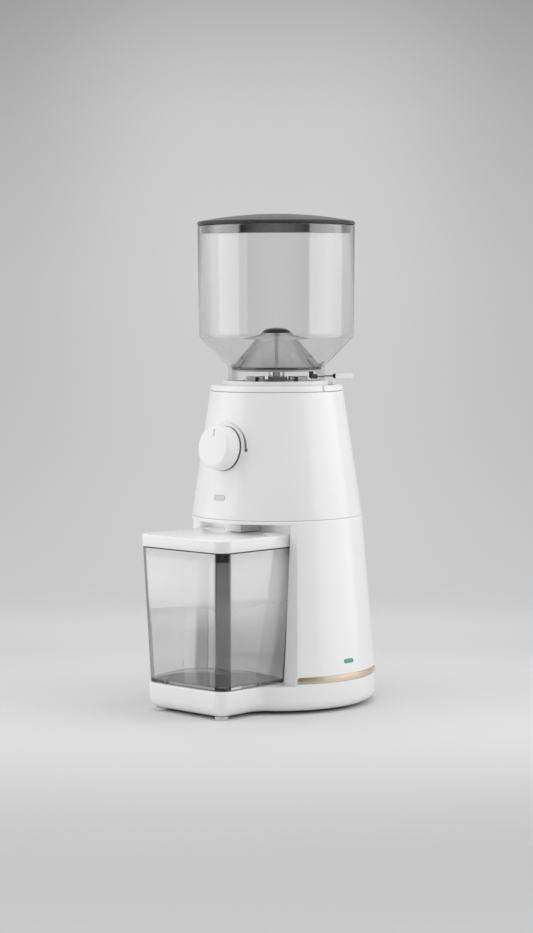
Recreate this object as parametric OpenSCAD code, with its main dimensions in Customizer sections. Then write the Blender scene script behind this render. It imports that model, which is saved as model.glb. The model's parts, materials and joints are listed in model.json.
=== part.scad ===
// Burr coffee grinder: round base with a square platform in front, conical
// housing with a turned bean hopper on top and a drawer-like grounds container.
// Millimetres, +Z up, front towards -Y, origin under the middle of the whole.

/* [Base] */
// width of each cooling slot in the bottom plate
vent_w = 3; // [2:0.1:4]
// length of each cooling slot in the bottom plate
vent_len = 40; // [30:1:50]
// height of the rubber feet
foot_h = 2.5; // [2:0.5:5]
// radius of a rubber foot
foot_r = 5.5; // [4:0.5:7]
// how far the back feet's stems stand inside the bottom plate's edge
foot_inset = 3.06; // [2.6:0.02:6]
// how far each back foot stands round from the front, in degrees
foot_back_az = 128.93; // [115:0.01:140]
// how far the base screws stand inside the bottom plate's edge
base_screw_inset = 11.9; // [10:0.1:14]
// length of the base screws' threads
base_screw_len = 8; // [6:0.5:10]
// radius of the press stem on a foot
foot_stem_r = 2; // [1.5:0.25:3]
// length of the press stem on a foot
foot_stem_h = 3.6; // [2.5:0.1:4]
// radius of the round base
base_r = 83.4; // [82:0.2:90]
// height of the base, feet left out
base_h = 22.9; // [20:0.1:30]
// radius that rounds the base's lower edge
base_edge_r = 8.5; // [5:0.5:10]
// wall of the base
base_wall = 3; // [2.4:0.2:4]
// how far the platform's top lies below the housing's foot
deck_drop = 1.8; // [1:0.1:3]
// thickness of the platform's top
deck_t = 3; // [2.4:0.2:4]
// width of the front platform
platform_w = 91.4; // [86:0.2:96]
// distance from the burr axis to the platform's front face
platform_reach = 114; // [110:0.5:116]
// plan radius of the platform's front corners
platform_corner_r = 11; // [10:0.5:16]
// plan radius that blends the platform into the round base
platform_fillet_r = 14; // [8:0.5:20]
// thickness of the plate that closes the underside
plate_t = 2.2; // [1.5:0.1:2.5]

/* [Housing] */
// wall of the two housing shells
wall = 3; // [2.4:0.2:4]
// height of the lower housing
lower_h = 134.4; // [130:0.2:150]
// outer radius at the seam of the two housings
seam_r = 72.4; // [71:0.2:76]
// height of the lip that closes the container bay at the top
lip_h = 3; // [2.4:0.2:4]
// height of the upper housing
upper_h = 105.3; // [100:0.1:115]
// outer radius at the top of the upper housing
rim_r = 56.6; // [55:0.1:60]
// height of the top rim
rim_h = 5.2; // [4:0.1:7]
// how much narrower the rim is at its top
rim_taper = 1.2; // [0.5:0.1:2]
// height of the metal trim band
band_h = 5.5; // [4:0.1:8]
// thickness of the metal trim band
band_t = 1.2; // [0.8:0.1:1.5]
// width of the inner ledge where the housings are screwed together
ledge_w = 9; // [8:0.5:10]

/* [Container bay] */
// gap between the container and each side wall of its bay
bay_gap = 2; // [1.7:0.1:3]
// distance from the burr axis to the bay's back wall, at the top
bay_back = 29.5; // [28.5:0.1:29.8]
// how much further forward the back wall stands at the base
bay_lean = 6.8; // [5:0.1:7.4]
// distance from the burr axis to the wings' front edges, at the top
wing_front = 39.9; // [36:0.1:46]
// how much further forward the wings stand at the base
wing_lean = 8; // [4:0.1:12]

/* [Container] */
// outer width of the container at its rim
cont_w = 100; // [96:0.2:101]
// distance from the burr axis to the container's front, at its rim
cont_reach = 116.3; // [110:0.1:118]
// distance from the burr axis to the container's back, at its rim
cont_back = 31.8; // [31:0.1:36]
// height of the container without its lid
cont_h = 113.9; // [105:0.1:114.2]
// draft of each side wall of the container over its height
cont_draft_side = 4.5; // [3:0.1:6]
// draft of the container's front wall over its height
cont_draft_front = 3.8; // [2:0.1:5]
// draft of the container's back wall over its height
cont_draft_back = 6.6; // [6:0.1:8]
// plan radius of the container's front upright edges
cont_corner_r = 11; // [8:0.5:14]
// plan radius of the container's back upright edges
cont_back_r = 3.5; // [3:0.1:6]
// wall of the container
cont_wall = 2.2; // [1.8:0.1:3]
// floor of the container
cont_floor = 3; // [2.4:0.1:5]
// gap under the container, above the platform
cont_gap = 0.3; // [0.2:0.05:0.6]
// thickness of the container's lid
lid_t = 10; // [8:0.1:10.2]
// wall and top thickness of the container's lid
lid_wall = 2.4; // [2:0.1:3]
// how far the lid stands out past the container
lid_over = 0.8; // [0.4:0.1:1]
// depth of the seal inside the container
seal_h = 8; // [5:0.5:12]
// thickness of the seal ring
seal_t = 2.4; // [2:0.1:4]
// width of the grounds port in the container's lid
port_w = 16; // [12:0.5:18]
// depth of the grounds port in the container's lid
port_d = 13; // [10:0.5:14]

/* [Hopper] */
// outer radius of the hopper at its mouth
hopper_r = 66.6; // [60:0.1:70]
// outer radius of the hopper where its funnel starts
hopper_low_r = 65.8; // [58:0.1:69]
// wall of the hopper
hopper_wall = 2.4; // [1.8:0.1:3]
// height of the hopper's cylinder
hopper_h = 93.7; // [70:0.1:120]
// height of the hopper's funnel
funnel_h = 25.5; // [20:0.1:35]
// outer radius of the hopper's neck
neck_r = 41; // [40:0.1:42]
// height of the hopper's neck
neck_h = 19; // [18:0.1:22]
// depth of the neck inside the collar, below the rim's top
neck_seat = 4.1; // [3.5:0.1:4.5]
// radius of the hopper's lid
cover_r = 67; // [66.8:0.1:71]
// height of the lid's straight edge
cover_edge_h = 3; // [2:0.1:5]
// rise of the lid's dome above its edge
cover_rise = 6.6; // [4:0.1:12]
// thickness of the lid's dome
cover_t = 2; // [1.6:0.1:3]
// depth of the lid's plug inside the hopper
plug_h = 7.8; // [6:0.1:14]
// thickness of the plug ring
plug_t = 3; // [2:0.1:5]

/* [Bean guard and gate] */
// height of the bean guard above its foot ring
guard_h = 33.4; // [28:0.1:36]
// radius of the guard's rounded cap
guard_cap_r = 8; // [6:0.1:12]
// wall of the guard
guard_t = 1.6; // [1.2:0.1:2.4]
// thickness of the guard's foot ring
guard_foot_t = 1.6; // [1.2:0.1:2]
// thickness of the gate plate
gate_t = 1.2; // [1:0.1:1.6]
// height of the middle of the gate's rod above the rim's top
rod_rise = 6.7; // [6.4:0.1:7.2]
// radius of the gate's rod
rod_r = 0.7; // [0.5:0.1:1]
// direction of the gate's lever, turned from the front towards the right
lever_az = 134; // [110:1:150]
// angle through which the gate turns
gate_travel = 60; // [45:1:70]
// length of the lever's tab
tab_len = 17; // [12:0.5:24]
// width of the lever's tab
tab_w = 9; // [6:0.5:12]
// height of the lever's tab
tab_h = 3.8; // [3:0.1:5]
// distance from the axis to the tab's inner end
tab_start = 50; // [48:0.5:54]

/* [Collar] */
// outer radius of the adjustment collar
collar_r = 45.6; // [44.5:0.1:47]
// height of the collar above the rim
collar_rise = 3.5; // [3:0.1:4]
// width of the ledge that carries the hopper's neck
collar_ledge = 3; // [2:0.1:4]
// reach of the collar's thumb lug past its edge
lug_reach = 4; // [2:0.1:5]

/* [Controls] */
// width of the control board
board_w = 84; // [76:1:88]
// thickness of the circuit boards
board_t = 1.6; // [1.2:0.1:2]
// distance of the boards' screws from the control board's ends
board_screw_in = 6; // [5:0.5:8]
// width of the panel board
panel_w = 28; // [24:1:32]
// distance of the panel board's screws from its edges
panel_screw_in = 3; // [3:0.5:5]
// width of the dial's encoder
encoder_w = 14; // [11:0.5:15]
// width of the start switch
switch_w = 6; // [5:0.5:7]
// height of the dial's axis above the seam
dial_up = 58.6; // [50:0.1:70]
// radius of the dial at its foot
dial_r = 18.5; // [14:0.1:20]
// radius of the dial at its face
dial_face_r = 17.7; // [13:0.1:19]
// how far the dial stands out
dial_h = 13.8; // [8:0.1:20]
// radius of the dial's spindle
spindle_r = 3; // [2.5:0.1:4]
// outer radius of the dial's crescent scale
scale_r = 22.9; // [21:0.1:26]
// height of the start button's axis above the seam
button_up = 17.9; // [15:0.1:22]
// width of the start button
button_w = 12.4; // [8:0.1:18]
// height of the start button
button_h = 4; // [3:0.1:7]
// travel of the start button
button_travel = 1.2; // [0.6:0.1:1.4]
// height of the power lens above the housing's foot
lens_up = 16.2; // [12:0.1:30]
// width of the power lens
lens_w = 12; // [6:0.1:16]
// height of the power lens
lens_h = 3.9; // [2.5:0.1:6]
// radius of the bore for the mains lead
lead_r = 3.4; // [3:0.1:4]

/* [Burrs] */
// outer radius of the threaded burr carrier
carrier_r = 34; // [32:0.1:34.6]
// radius of the ring burr
ring_burr_r = 28; // [25:0.1:29]
// height of the ring burr
ring_burr_h = 18; // [14:0.1:20]
// largest radius of the cone burr
cone_burr_r = 21; // [18:0.1:22]
// height of the cone burr
cone_burr_h = 26; // [20:0.1:28]
// outer radius of the dark feed throat
throat_r = 18.3; // [16:0.1:20]
// radius of the nut on top of the cone burr
nut_r = 6.8; // [5:0.1:8]
// radius of the grinding shaft
shaft_r = 4; // [3:0.1:5]
// outer radius of the grinding chamber
chamber_r = 38; // [37.4:0.1:38.2]
// height of the grinding chamber
chamber_h = 54; // [50:0.1:56]
// radius of the sweeper under the burrs
sweeper_r = 30; // [26:0.1:30.4]
// width of the grounds chute
chute_w = 18; // [14:0.5:20]
// depth of the spout at the chute's lower end
spout_d = 23; // [20:0.5:23]
// distance from the burr axis to the spout's front
spout_front = 53.5; // [53:0.1:54.5]
// wall of the chute
chute_wall = 2; // [1.5:0.1:2.5]

/* [Drive] */
// radius of the idler's axle
axle_r = 2; // [1.5:0.1:3]
// distance of the motor's screws from its axis
motor_screw_off = 16; // [14:0.5:20]
// wall of the motor's can
can_wall = 2; // [1.5:0.1:2.5]
// thickness of each motor magnet
magnet_t = 4.9; // [4:0.1:5]
// width of each motor magnet, across the motor
magnet_w = 40; // [30:1:44]
// length of each motor magnet
magnet_h = 58; // [40:1:60]
// height of the gear cover's screw bosses
gear_boss_h = 6; // [5:0.1:8]
// module of all gears
gear_m = 1; // [1:0.1:1]
// teeth of the motor pinion
pinion_z = 10; // [9:1:12]
// teeth of the idler's large gear
idler_big_z = 48; // [44:1:50]
// teeth of the idler's small gear
idler_small_z = 14; // [12:1:16]
// teeth of the grinding shaft's gear
output_z = 48; // [44:1:50]
// distance from the burr axis back to the motor's axis
motor_back = 30; // [29:0.5:32]
// radius of the motor's can
motor_r = 31; // [26:0.5:33]
// height of the motor's can
motor_h = 76; // [60:1:85]
// radius of the motor's shaft
motor_shaft_r = 2.5; // [2:0.1:3]
// thickness of the chassis plate
chassis_t = 3.5; // [3:0.1:5]
// height of the gear case's inside
case_h = 22.7; // [21:0.1:26]
// wall and roof of the gear case
case_t = 2.4; // [2:0.1:3]

/* [Fasteners] */
// length of the circuit boards' screws
board_screw_len = 7; // [5:0.5:8]
// radius of the screws that hold the panel board
panel_screw_r = 0.85; // [0.6:0.05:1]
// length of the screws that hold the panel board
panel_screw_len = 5; // [4:0.5:6]
// radius of a screw's shank
screw_r = 1.5; // [1.2:0.1:2]
// radius of a screw's head
screw_head_r = 3; // [2.4:0.1:4]
// height of a screw's head
screw_head_h = 1.8; // [1.2:0.1:2]
// radius of a screw boss
boss_r = 4.2; // [3.4:0.1:5]

/* [Clearances] */
// gap around parts that slide or turn in a housing
slide_gap = 0.3; // [0.2:0.05:0.5]
// gap around running shafts
run_gap = 0.05; // [0.03:0.01:0.1]
// gap around seated parts and screws
seat_gap = 0.1; // [0.05:0.05:0.2]

/* [Output] */
// which piece to draw

/* [Hidden] */
$fn = 96;
eps = 0.01;

// the burr axis stands behind the middle, so the whole is centred on Y = 0
lid_reach = cont_reach + lid_over;
bay_w = cont_w + 2 * bay_gap;
axis_y = (lid_reach - base_r) / 2;

// heights
plate_top = foot_h + plate_t;
base_top = foot_h + base_h;
deck_z = base_top - deck_drop;
band_top = base_top + band_h;
seam_z = base_top + lower_h;
lip_z = seam_z - lip_h;
rim_z = seam_z + upper_h;
rim_top = rim_z + rim_h;
collar_z = rim_z - wall + slide_gap;
collar_top = rim_top + collar_rise;
neck_z = rim_top - neck_seat;
neck_top = neck_z + neck_h;
funnel_top = neck_top + funnel_h;
hopper_top = funnel_top + hopper_h;
cover_z = hopper_top + 0.2;
rod_z = rim_top + rod_rise;
cont_z = deck_z + cont_gap;
lid_z = cont_z + cont_h;
lid_top = lid_z + lid_t;
dial_z = seam_z + dial_up;
button_z = seam_z + button_up;
lens_z = base_top + lens_up;
case_roof = seam_z + chassis_t + case_h;

// slopes of the two housings
low_slope = (base_r - seam_r) / lower_h;
up_slope = (seam_r - rim_r) / upper_h;
up_tilt = atan(up_slope);
low_tilt = atan(low_slope);
function low_r(z) = base_r - (z - base_top) * low_slope;
function up_r(z) = seam_r - (z - seam_z) * up_slope;
function bay_y(z) = -(bay_back + bay_lean * (lip_z - z) / (lip_z - base_top));
function wing_y(z) = -(wing_front + wing_lean * (lip_z - z) / (lip_z - base_top));
function polar(r, az) = [r * sin(az), -r * cos(az)];

// clear radii
neck_in = neck_r - hopper_wall;
collar_bore = neck_r + slide_gap;
rim_bore = collar_r + slide_gap;
carrier_bore = carrier_r + slide_gap;

module on_axis() translate([0, axis_y, 0]) children();

// prism along X from outline points given as [y, z]
module yz_prism(w, pts) rotate([90, 0, 90]) translate([0, 0, -w / 2])
  linear_extrude(w) polygon(pts);

module ring(ro, ri, h, z = 0) translate([0, 0, z]) difference() {
  cylinder(r = ro, h = h);
  translate([0, 0, -1]) cylinder(r = ri, h = h + 2);
}

// flat stadium of width w and height h, lying in its local XY plane
module pill(w, h, t) {
  translate([-(w - h) / 2, -h / 2, 0]) cube([w - h, h, t]);
  for (s = [-1, 1]) translate([s * (w - h) / 2, 0, 0]) cylinder(d = h, h = t);
}

// plan rectangle from [x0, y0] to [x1, y1], its front corners rounded by r
// and its back corners by rb
module round_slab(x0, x1, y0, y1, r, rb, t, n = 48) {
  translate([x0 + r, y0, 0]) cube([x1 - x0 - 2 * r, y1 - y0 - rb, t]);
  translate([x0, y0 + r, 0]) cube([x1 - x0, y1 - y0 - r - rb, t]);
  translate([x0 + rb, y0 + r, 0]) cube([x1 - x0 - 2 * rb, y1 - y0 - r, t]);
  for (x = [x0 + r, x1 - r]) translate([x, y0 + r, 0]) cylinder(r = r, h = t, $fn = n);
  for (x = [x0 + rb, x1 - rb]) translate([x, y1 - rb, 0]) cylinder(r = rb, h = t, $fn = n);
}

// local frames whose +Z points out of a sloping housing wall
module up_face(z) on_axis() translate([0, -up_r(z), z])
  rotate([90 - up_tilt, 0, 0]) children();
module low_side_face(z) on_axis() translate([low_r(z), 0, z])
  rotate([0, 90 - low_tilt, 0]) rotate([0, 0, 90]) children();
module low_rear_face(z) on_axis() translate([0, low_r(z), z])
  rotate([-90 + low_tilt, 0, 0]) children();

module screw(len) {
  translate([0, 0, -screw_head_h / 2]) cylinder(r = screw_r, h = len + screw_head_h / 2, $fn = 32);
  translate([0, 0, -screw_head_h]) cylinder(r = screw_head_r, h = screw_head_h, $fn = 32);
}

// ---------------------------------------------------------------- base
foot_front = [platform_w / 2 - platform_corner_r, -platform_reach + platform_corner_r];
plate_r = base_r - base_edge_r - base_wall;
foot_back_r = plate_r - foot_stem_r - foot_inset;
foot_pos = [foot_front, [-foot_front[0], foot_front[1]],
  polar(foot_back_r, foot_back_az), polar(foot_back_r, -foot_back_az)];
base_screw_r = plate_r - base_screw_inset;
base_screw_pos = [for (a = [40, 120, 240, 320]) polar(base_screw_r, a),
  [0, -platform_reach + base_edge_r + base_screw_inset + 2.1]];
plate_w = platform_w - 2 * (platform_corner_r + foot_stem_r + 2.2);
plate_reach = platform_reach - base_edge_r - base_wall;
fillet_y = -sqrt(pow(base_r + platform_fillet_r, 2)
  - pow(platform_w / 2 + platform_fillet_r, 2));

// round disc with its lower edge rounded
module round_puck(r, e, h) {
  rotate_extrude() union() {
    square([r - e, h]);
    translate([0, e]) square([r, h - e]);
    intersection() {
      translate([r - e, e]) circle(r = e);
      square([r, h]);
    }
  }
}

// platform: straight sides and corners with the same rounded lower edge
module platform_solid(h) {
  e = base_edge_r;
  cr = platform_corner_r;
  hw = platform_w / 2;
  for (s = [-1, 1]) translate([s * (hw - cr), -platform_reach + cr, 0])
    round_puck(cr, e, h);
  translate([-hw + cr, -platform_reach, e]) cube([2 * (hw - cr), platform_reach, h - e]);
  translate([-hw, -platform_reach + cr, e]) cube([2 * hw, platform_reach - cr, h - e]);
  translate([-hw + e, -platform_reach + cr, 0]) cube([2 * (hw - e), platform_reach - cr, e + eps]);
  translate([-hw + cr, -platform_reach + e, 0]) cube([2 * (hw - cr), platform_reach - e, e + eps]);
  translate([-hw + cr, -platform_reach + e, e]) rotate([0, 90, 0])
    cylinder(r = e, h = 2 * (hw - cr));
  for (s = [-1, 1]) translate([s * (hw - e), -platform_reach + cr, e]) rotate([-90, 0, 0])
    cylinder(r = e, h = platform_reach - cr);
}

// web between platform and round base, hollowed to a concave blend
module blend_web(h) {
  hw = platform_w / 2;
  rf = platform_fillet_r;
  e = base_edge_r;
  t = base_r / (base_r + rf);
  function drawn_in(z) = rf + 0.06 + e - sqrt(e * e - (e - z) * (e - z));
  difference() {
    for (s = [-1, 1]) translate([0, 0, 1.2]) linear_extrude(h - 1.2) polygon([
      [s * (hw - e - 4), fillet_y], [s * hw, fillet_y], [s * (hw + rf) * t, fillet_y * t],
      [s * (hw - e) * t, (fillet_y + e + 12) * t], [s * (hw - e - 4), fillet_y + 20]]);
    for (s = [-1, 1]) translate([s * (hw + rf), fillet_y, 0]) rotate_extrude() polygon([
      [0, -1], [drawn_in(1), -1], [drawn_in(1), 1], [drawn_in(2.5), 2.5],
      [drawn_in(5), 5], [drawn_in(e), e], [drawn_in(e), h + 1], [0, h + 1]]);
  }
}

module base() color("white") on_axis() difference() {
  translate([0, 0, foot_h]) union() {
    round_puck(base_r, base_edge_r, deck_z - foot_h);
    platform_solid(deck_z - foot_h);
    blend_web(deck_z - foot_h);
    difference() {
      translate([0, 0, deck_z - foot_h - eps]) cylinder(r = base_r, h = deck_drop + eps);
      translate([0, 0, -foot_h]) bay_cut(deck_z - 1);
    }
  }
  difference() {
    union() {
      translate([0, 0, foot_h - 1]) cylinder(r = plate_r, h = deck_z - deck_t - foot_h + 1);
      translate([0, 0, foot_h + base_edge_r])
        cylinder(r = base_r - base_wall, h = deck_z - deck_t - foot_h - base_edge_r);
      translate([-plate_w / 2, -plate_reach, foot_h - 1])
        cube([plate_w, plate_reach, deck_z - deck_t - foot_h + 1]);
    }
    for (p = base_screw_pos) translate([p[0], p[1], plate_top])
      cylinder(r = boss_r, h = deck_z - plate_top, $fn = 48);
  }
  for (p = base_screw_pos) translate([p[0], p[1], plate_top - 1])
    cylinder(r = screw_r + run_gap, h = 11, $fn = 32);
  for (p = foot_pos) if (p[1] < 0) translate([p[0], p[1], foot_h - 1])
    cylinder(r = foot_stem_r + run_gap, h = foot_stem_h + 1.2, $fn = 32);
  for (a = housing_screw_az) translate([polar(housing_screw_r, a)[0], polar(housing_screw_r, a)[1], 0])
    cylinder(r = screw_r + seat_gap, h = base_top + 1, $fn = 32);
}

module bottom_plate() color("dimgray") on_axis() difference() {
  translate([0, 0, foot_h]) union() {
    cylinder(r = plate_r - slide_gap, h = plate_t);
    translate([-plate_w / 2 + slide_gap, -plate_reach + slide_gap, 0])
      cube([plate_w - 2 * slide_gap, plate_reach - slide_gap, plate_t]);
  }
  for (p = base_screw_pos) translate([p[0], p[1], foot_h - 1]) {
    cylinder(r = screw_r + seat_gap, h = plate_t + 2, $fn = 32);
    cylinder(r = screw_head_r + seat_gap, h = 1 + screw_head_h / 2, $fn = 32);
  }
  for (p = foot_pos) if (p[1] > 0) translate([p[0], p[1], foot_h - 1])
    cylinder(r = foot_stem_r + run_gap, h = plate_t + 2, $fn = 32);
  for (i = [-3:3]) translate([(i * 7 / 3 - 0.5) * vent_w, motor_back - vent_len / 2, foot_h - 1])
    cube([vent_w, vent_len, plate_t + 2]);
}

module feet() color("dimgray") on_axis() for (p = foot_pos) translate([p[0], p[1], 0]) {
  cylinder(r = foot_r, h = foot_h, $fn = 48);
  cylinder(r = foot_stem_r, h = foot_h + (p[1] < 0 ? foot_stem_h : plate_t), $fn = 32);
}

module base_screws() color("silver") on_axis() for (p = base_screw_pos)
  translate([p[0], p[1], foot_h + screw_head_h / 2]) {
    cylinder(r = screw_r, h = base_screw_len, $fn = 32);
    translate([0, 0, -screw_head_h / 2 + 0.1])
      cylinder(r = screw_head_r, h = screw_head_h / 2 - 0.1, $fn = 32);
  }

// ------------------------------------------------------- housing shells
housing_screw_r = base_r - base_wall - boss_r - 2;
housing_screw_az = [68, 138, 222, 292];
body_screw_r = seam_r - wall - 5;
body_screw_az = [95, 152, 208, 265];
rim_screw_r = 50;
rim_screw_az = [45, 135, 225, 315];

// everything in front of the wings and of the bay's back wall
module bay_cut(z0, grow = 0) {
  z1 = lip_z - grow;
  yz_prism(2 * base_r + 10, [[-200, z0], [wing_y(z0) + grow, z0],
    [wing_y(z1) + grow, z1], [-200, z1]]);
  yz_prism(bay_w + 2 * grow, [[-200, z0], [bay_y(z0) + grow, z0],
    [bay_y(z1) + grow, z1], [-200, z1]]);
}

module low_cone(inset, z0, z1) translate([0, 0, z0])
  cylinder(r1 = low_r(z0) - inset, r2 = low_r(z1) - inset, h = z1 - z0);
module up_cone(inset, z0, z1) translate([0, 0, z0])
  cylinder(r1 = up_r(z0) - inset, r2 = up_r(z1) - inset, h = z1 - z0);

spout_mid = -spout_front + spout_d / 2;

module lower_housing() color("white") {
  on_axis() difference() {
    union() {
      difference() {
        low_cone(0, base_top, seam_z);
        low_cone(wall, base_top - 1, seam_z + 1);
      }
      intersection() {
        low_cone(0.5, base_top, seam_z);
        bay_cut(base_top, wall);
      }
      intersection() {
        low_cone(0.5, lip_z - eps, seam_z);
        union() {
          ring(base_r, seam_r - wall - ledge_w, lip_h, lip_z);
          translate([-base_r, -base_r, lip_z - eps])
            cube([2 * base_r, base_r + bay_y(lip_z) + wall, lip_h + eps]);
        }
      }
      intersection() {
        low_cone(0.5, base_top, seam_z);
        for (a = housing_screw_az) translate([polar(housing_screw_r, a)[0],
          polar(housing_screw_r, a)[1], base_top]) {
          cylinder(r = boss_r, h = 12, $fn = 48);
          rotate([0, 0, a]) translate([-1.2, -wall - boss_r - 3, 0])
            cube([2.4, wall + boss_r + 3, 12]);
        }
      }
      for (x = [-board_x, board_x], z = board_z) translate([x, board_y - board_t, z]) rotate([90, 0, 0])
        cylinder(r = 3, h = board_y - board_t - bay_y(z) - wall / 2, $fn = 32);
    }
    bay_cut(base_top - 1);
    // spout passes through the lip
    translate([-chute_w / 2 - slide_gap, spout_mid - spout_d / 2 - slide_gap, lip_z - 1])
      cube([chute_w + 2 * slide_gap, spout_d + 2 * slide_gap, lip_h + 2]);
    // groove for the trim band
    ring(base_r + 5, low_r(band_top) - band_t, band_h + eps, base_top - eps);
    // room for the motor and the screws
    translate([0, motor_back, lip_z - 1]) cylinder(r = motor_r + 1, h = lip_h + 2);
    for (a = body_screw_az) translate([polar(body_screw_r, a)[0], polar(body_screw_r, a)[1], lip_z - 1])
      cylinder(r = screw_r + seat_gap, h = lip_h + 2, $fn = 32);
    for (a = housing_screw_az) translate([polar(housing_screw_r, a)[0],
      polar(housing_screw_r, a)[1], base_top - 1])
      cylinder(r = screw_r + run_gap, h = 11, $fn = 32);
    for (x = [-board_x, board_x], z = board_z) translate([x, board_y - 1, z]) rotate([90, 0, 0])
      cylinder(r = screw_r + run_gap, h = 9, $fn = 32);
    low_window();
    translate([0, -axis_y, 0]) low_rear_face(gland_z) translate([0, 0, -wall - 4])
      cylinder(r = gland_r, h = wall + 8, $fn = 48);
  }
}

module low_window() translate([0, -axis_y, 0]) low_side_face(lens_z)
  translate([0, 0, -wall - 2]) pill(lens_w + 2 * seat_gap, lens_h + 2 * seat_gap, wall + 4);

module trim_band() color("#b8946c") on_axis() difference() {
  intersection() {
    low_cone(0, base_top, band_top);
    ring(base_r + 5, low_r(band_top) - band_t + seat_gap, band_h, base_top);
  }
  bay_cut(base_top - 1);
}

module power_lens() color("teal") low_side_face(lens_z)
  translate([0, 0, -wall]) pill(lens_w, lens_h, wall + 0.1);

gland_z = base_top + 18;
gland_r = 7;
module cord_gland() color("dimgray") low_rear_face(gland_z) difference() {
  union() {
    translate([0, 0, -wall - 6]) cylinder(r = gland_r - seat_gap, h = wall + 6.3, $fn = 48);
    translate([0, 0, -wall - 3.7]) cylinder(r = gland_r + 1.6, h = 3, $fn = 48);
  }
  translate([0, 0, -wall - 7]) cylinder(r = lead_r, h = wall + 12, $fn = 48);
}

module upper_housing() color("white") {
  on_axis() difference() {
    union() {
      difference() {
        up_cone(0, seam_z, rim_z);
        up_cone(wall, seam_z - 1, rim_z + 1);
      }
      intersection() {
        up_cone(0.5, seam_z, rim_z);
        union() {
          ring(seam_r, rim_bore, wall, rim_z - wall);
          difference() {
            ring(seam_r, seam_r - wall - ledge_w, 10, seam_z + chassis_t + seat_gap);
            translate([-seam_r, -seam_r, seam_z]) cube([2 * seam_r, seam_r - 14, 20]);
          }
        }
      }
      // posts for the panel board
      translate([0, -axis_y, 0]) up_face(dial_z) for (x = [-panel_x, panel_x], y = panel_y)
        translate([x, y, -panel_depth]) cylinder(r = 2.4, h = panel_depth - 2.5, $fn = 32);
    }
    translate([0, motor_back, seam_z]) cylinder(r = motor_r + 1, h = chassis_t + 1);
    for (a = body_screw_az) translate([polar(body_screw_r, a)[0], polar(body_screw_r, a)[1], seam_z])
      cylinder(r = screw_r + run_gap, h = 13, $fn = 32);
    for (a = rim_screw_az) translate([polar(rim_screw_r, a)[0], polar(rim_screw_r, a)[1], rim_z - wall - 1])
      cylinder(r = screw_r + seat_gap, h = wall + 2, $fn = 32);
    translate([0, -axis_y, 0]) up_face(dial_z) translate([0, 0, -wall - 4])
      cylinder(r = bezel_r, h = wall + 8);
    translate([0, -axis_y, 0]) up_face(button_z) translate([0, 0, -wall - 3])
      pill(button_w + 2 * slide_gap, button_h + 2 * slide_gap, wall + 6);
    translate([0, -axis_y, 0]) up_face(dial_z) for (x = [-panel_x, panel_x], y = panel_y)
      translate([x, y, -panel_depth - 1]) cylinder(r = panel_screw_r + 0.05, h = panel_screw_len + 1, $fn = 24);
    scale_cut(0);
  }
}

module top_rim() color("white") on_axis() difference() {
  translate([0, 0, rim_z]) cylinder(r1 = rim_r, r2 = rim_r - rim_taper, h = rim_h);
  translate([0, 0, rim_z - 1]) cylinder(r = rim_bore, h = rim_h + 2);
  for (a = rim_screw_az) translate([polar(rim_screw_r, a)[0], polar(rim_screw_r, a)[1], rim_z - 1])
    cylinder(r = screw_r + run_gap, h = 1 + rim_h - 1.4, $fn = 32);
  // sighting notch over the right-hand side
  rotate([0, 0, notch_az]) translate([-3.4, -rim_r - 5, rim_z + 0.6]) cube([6.8, 6.4, rim_h]);
}
notch_az = 85;

module rim_screws() color("silver") on_axis() for (a = rim_screw_az)
  translate([polar(rim_screw_r, a)[0], polar(rim_screw_r, a)[1], rim_z - wall - flange_t])
    screw(wall + flange_t + rim_h - 1.8);

module body_screws() color("silver") on_axis() for (a = body_screw_az)
  translate([polar(body_screw_r, a)[0], polar(body_screw_r, a)[1], lip_z])
    screw(lip_h + chassis_t + 8);

module housing_screws() color("silver") on_axis() for (a = housing_screw_az)
  translate([polar(housing_screw_r, a)[0], polar(housing_screw_r, a)[1], deck_z - deck_t])
    screw(deck_t + deck_drop + 8);

// ------------------------------------------------------------ container
module cont_hull(i, z0, z1) {
  t0 = (z0 - cont_z) / cont_h;
  t1 = (z1 - cont_z) / cont_h;
  hull() {
    translate([0, 0, z0]) cont_plan(i, t0);
    translate([0, 0, z1 - eps]) cont_plan(i, t1);
  }
}
// plan of the container at the share t of its height, drawn in by i
module cont_plan(i, t) {
  hw = cont_w / 2 - cont_draft_side * (1 - t) - i;
  yf = -cont_reach + cont_draft_front * (1 - t) + i;
  yb = -cont_back - cont_draft_back * (1 - t) - i;
  for (c = [[cont_corner_r - i, yf, 1], [cont_back_r - i, yb, -1]], s = [-1, 1])
    translate([s * (hw - c[0]), c[1] + c[2] * c[0], 0]) cylinder(r = c[0], h = eps, $fn = 32);
}

module container() color([0.75, 0.75, 0.75, 0.4]) on_axis() difference() {
  cont_hull(0, cont_z, lid_z);
  cont_hull(cont_wall, cont_z + cont_floor, lid_z + 1);
}

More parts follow.
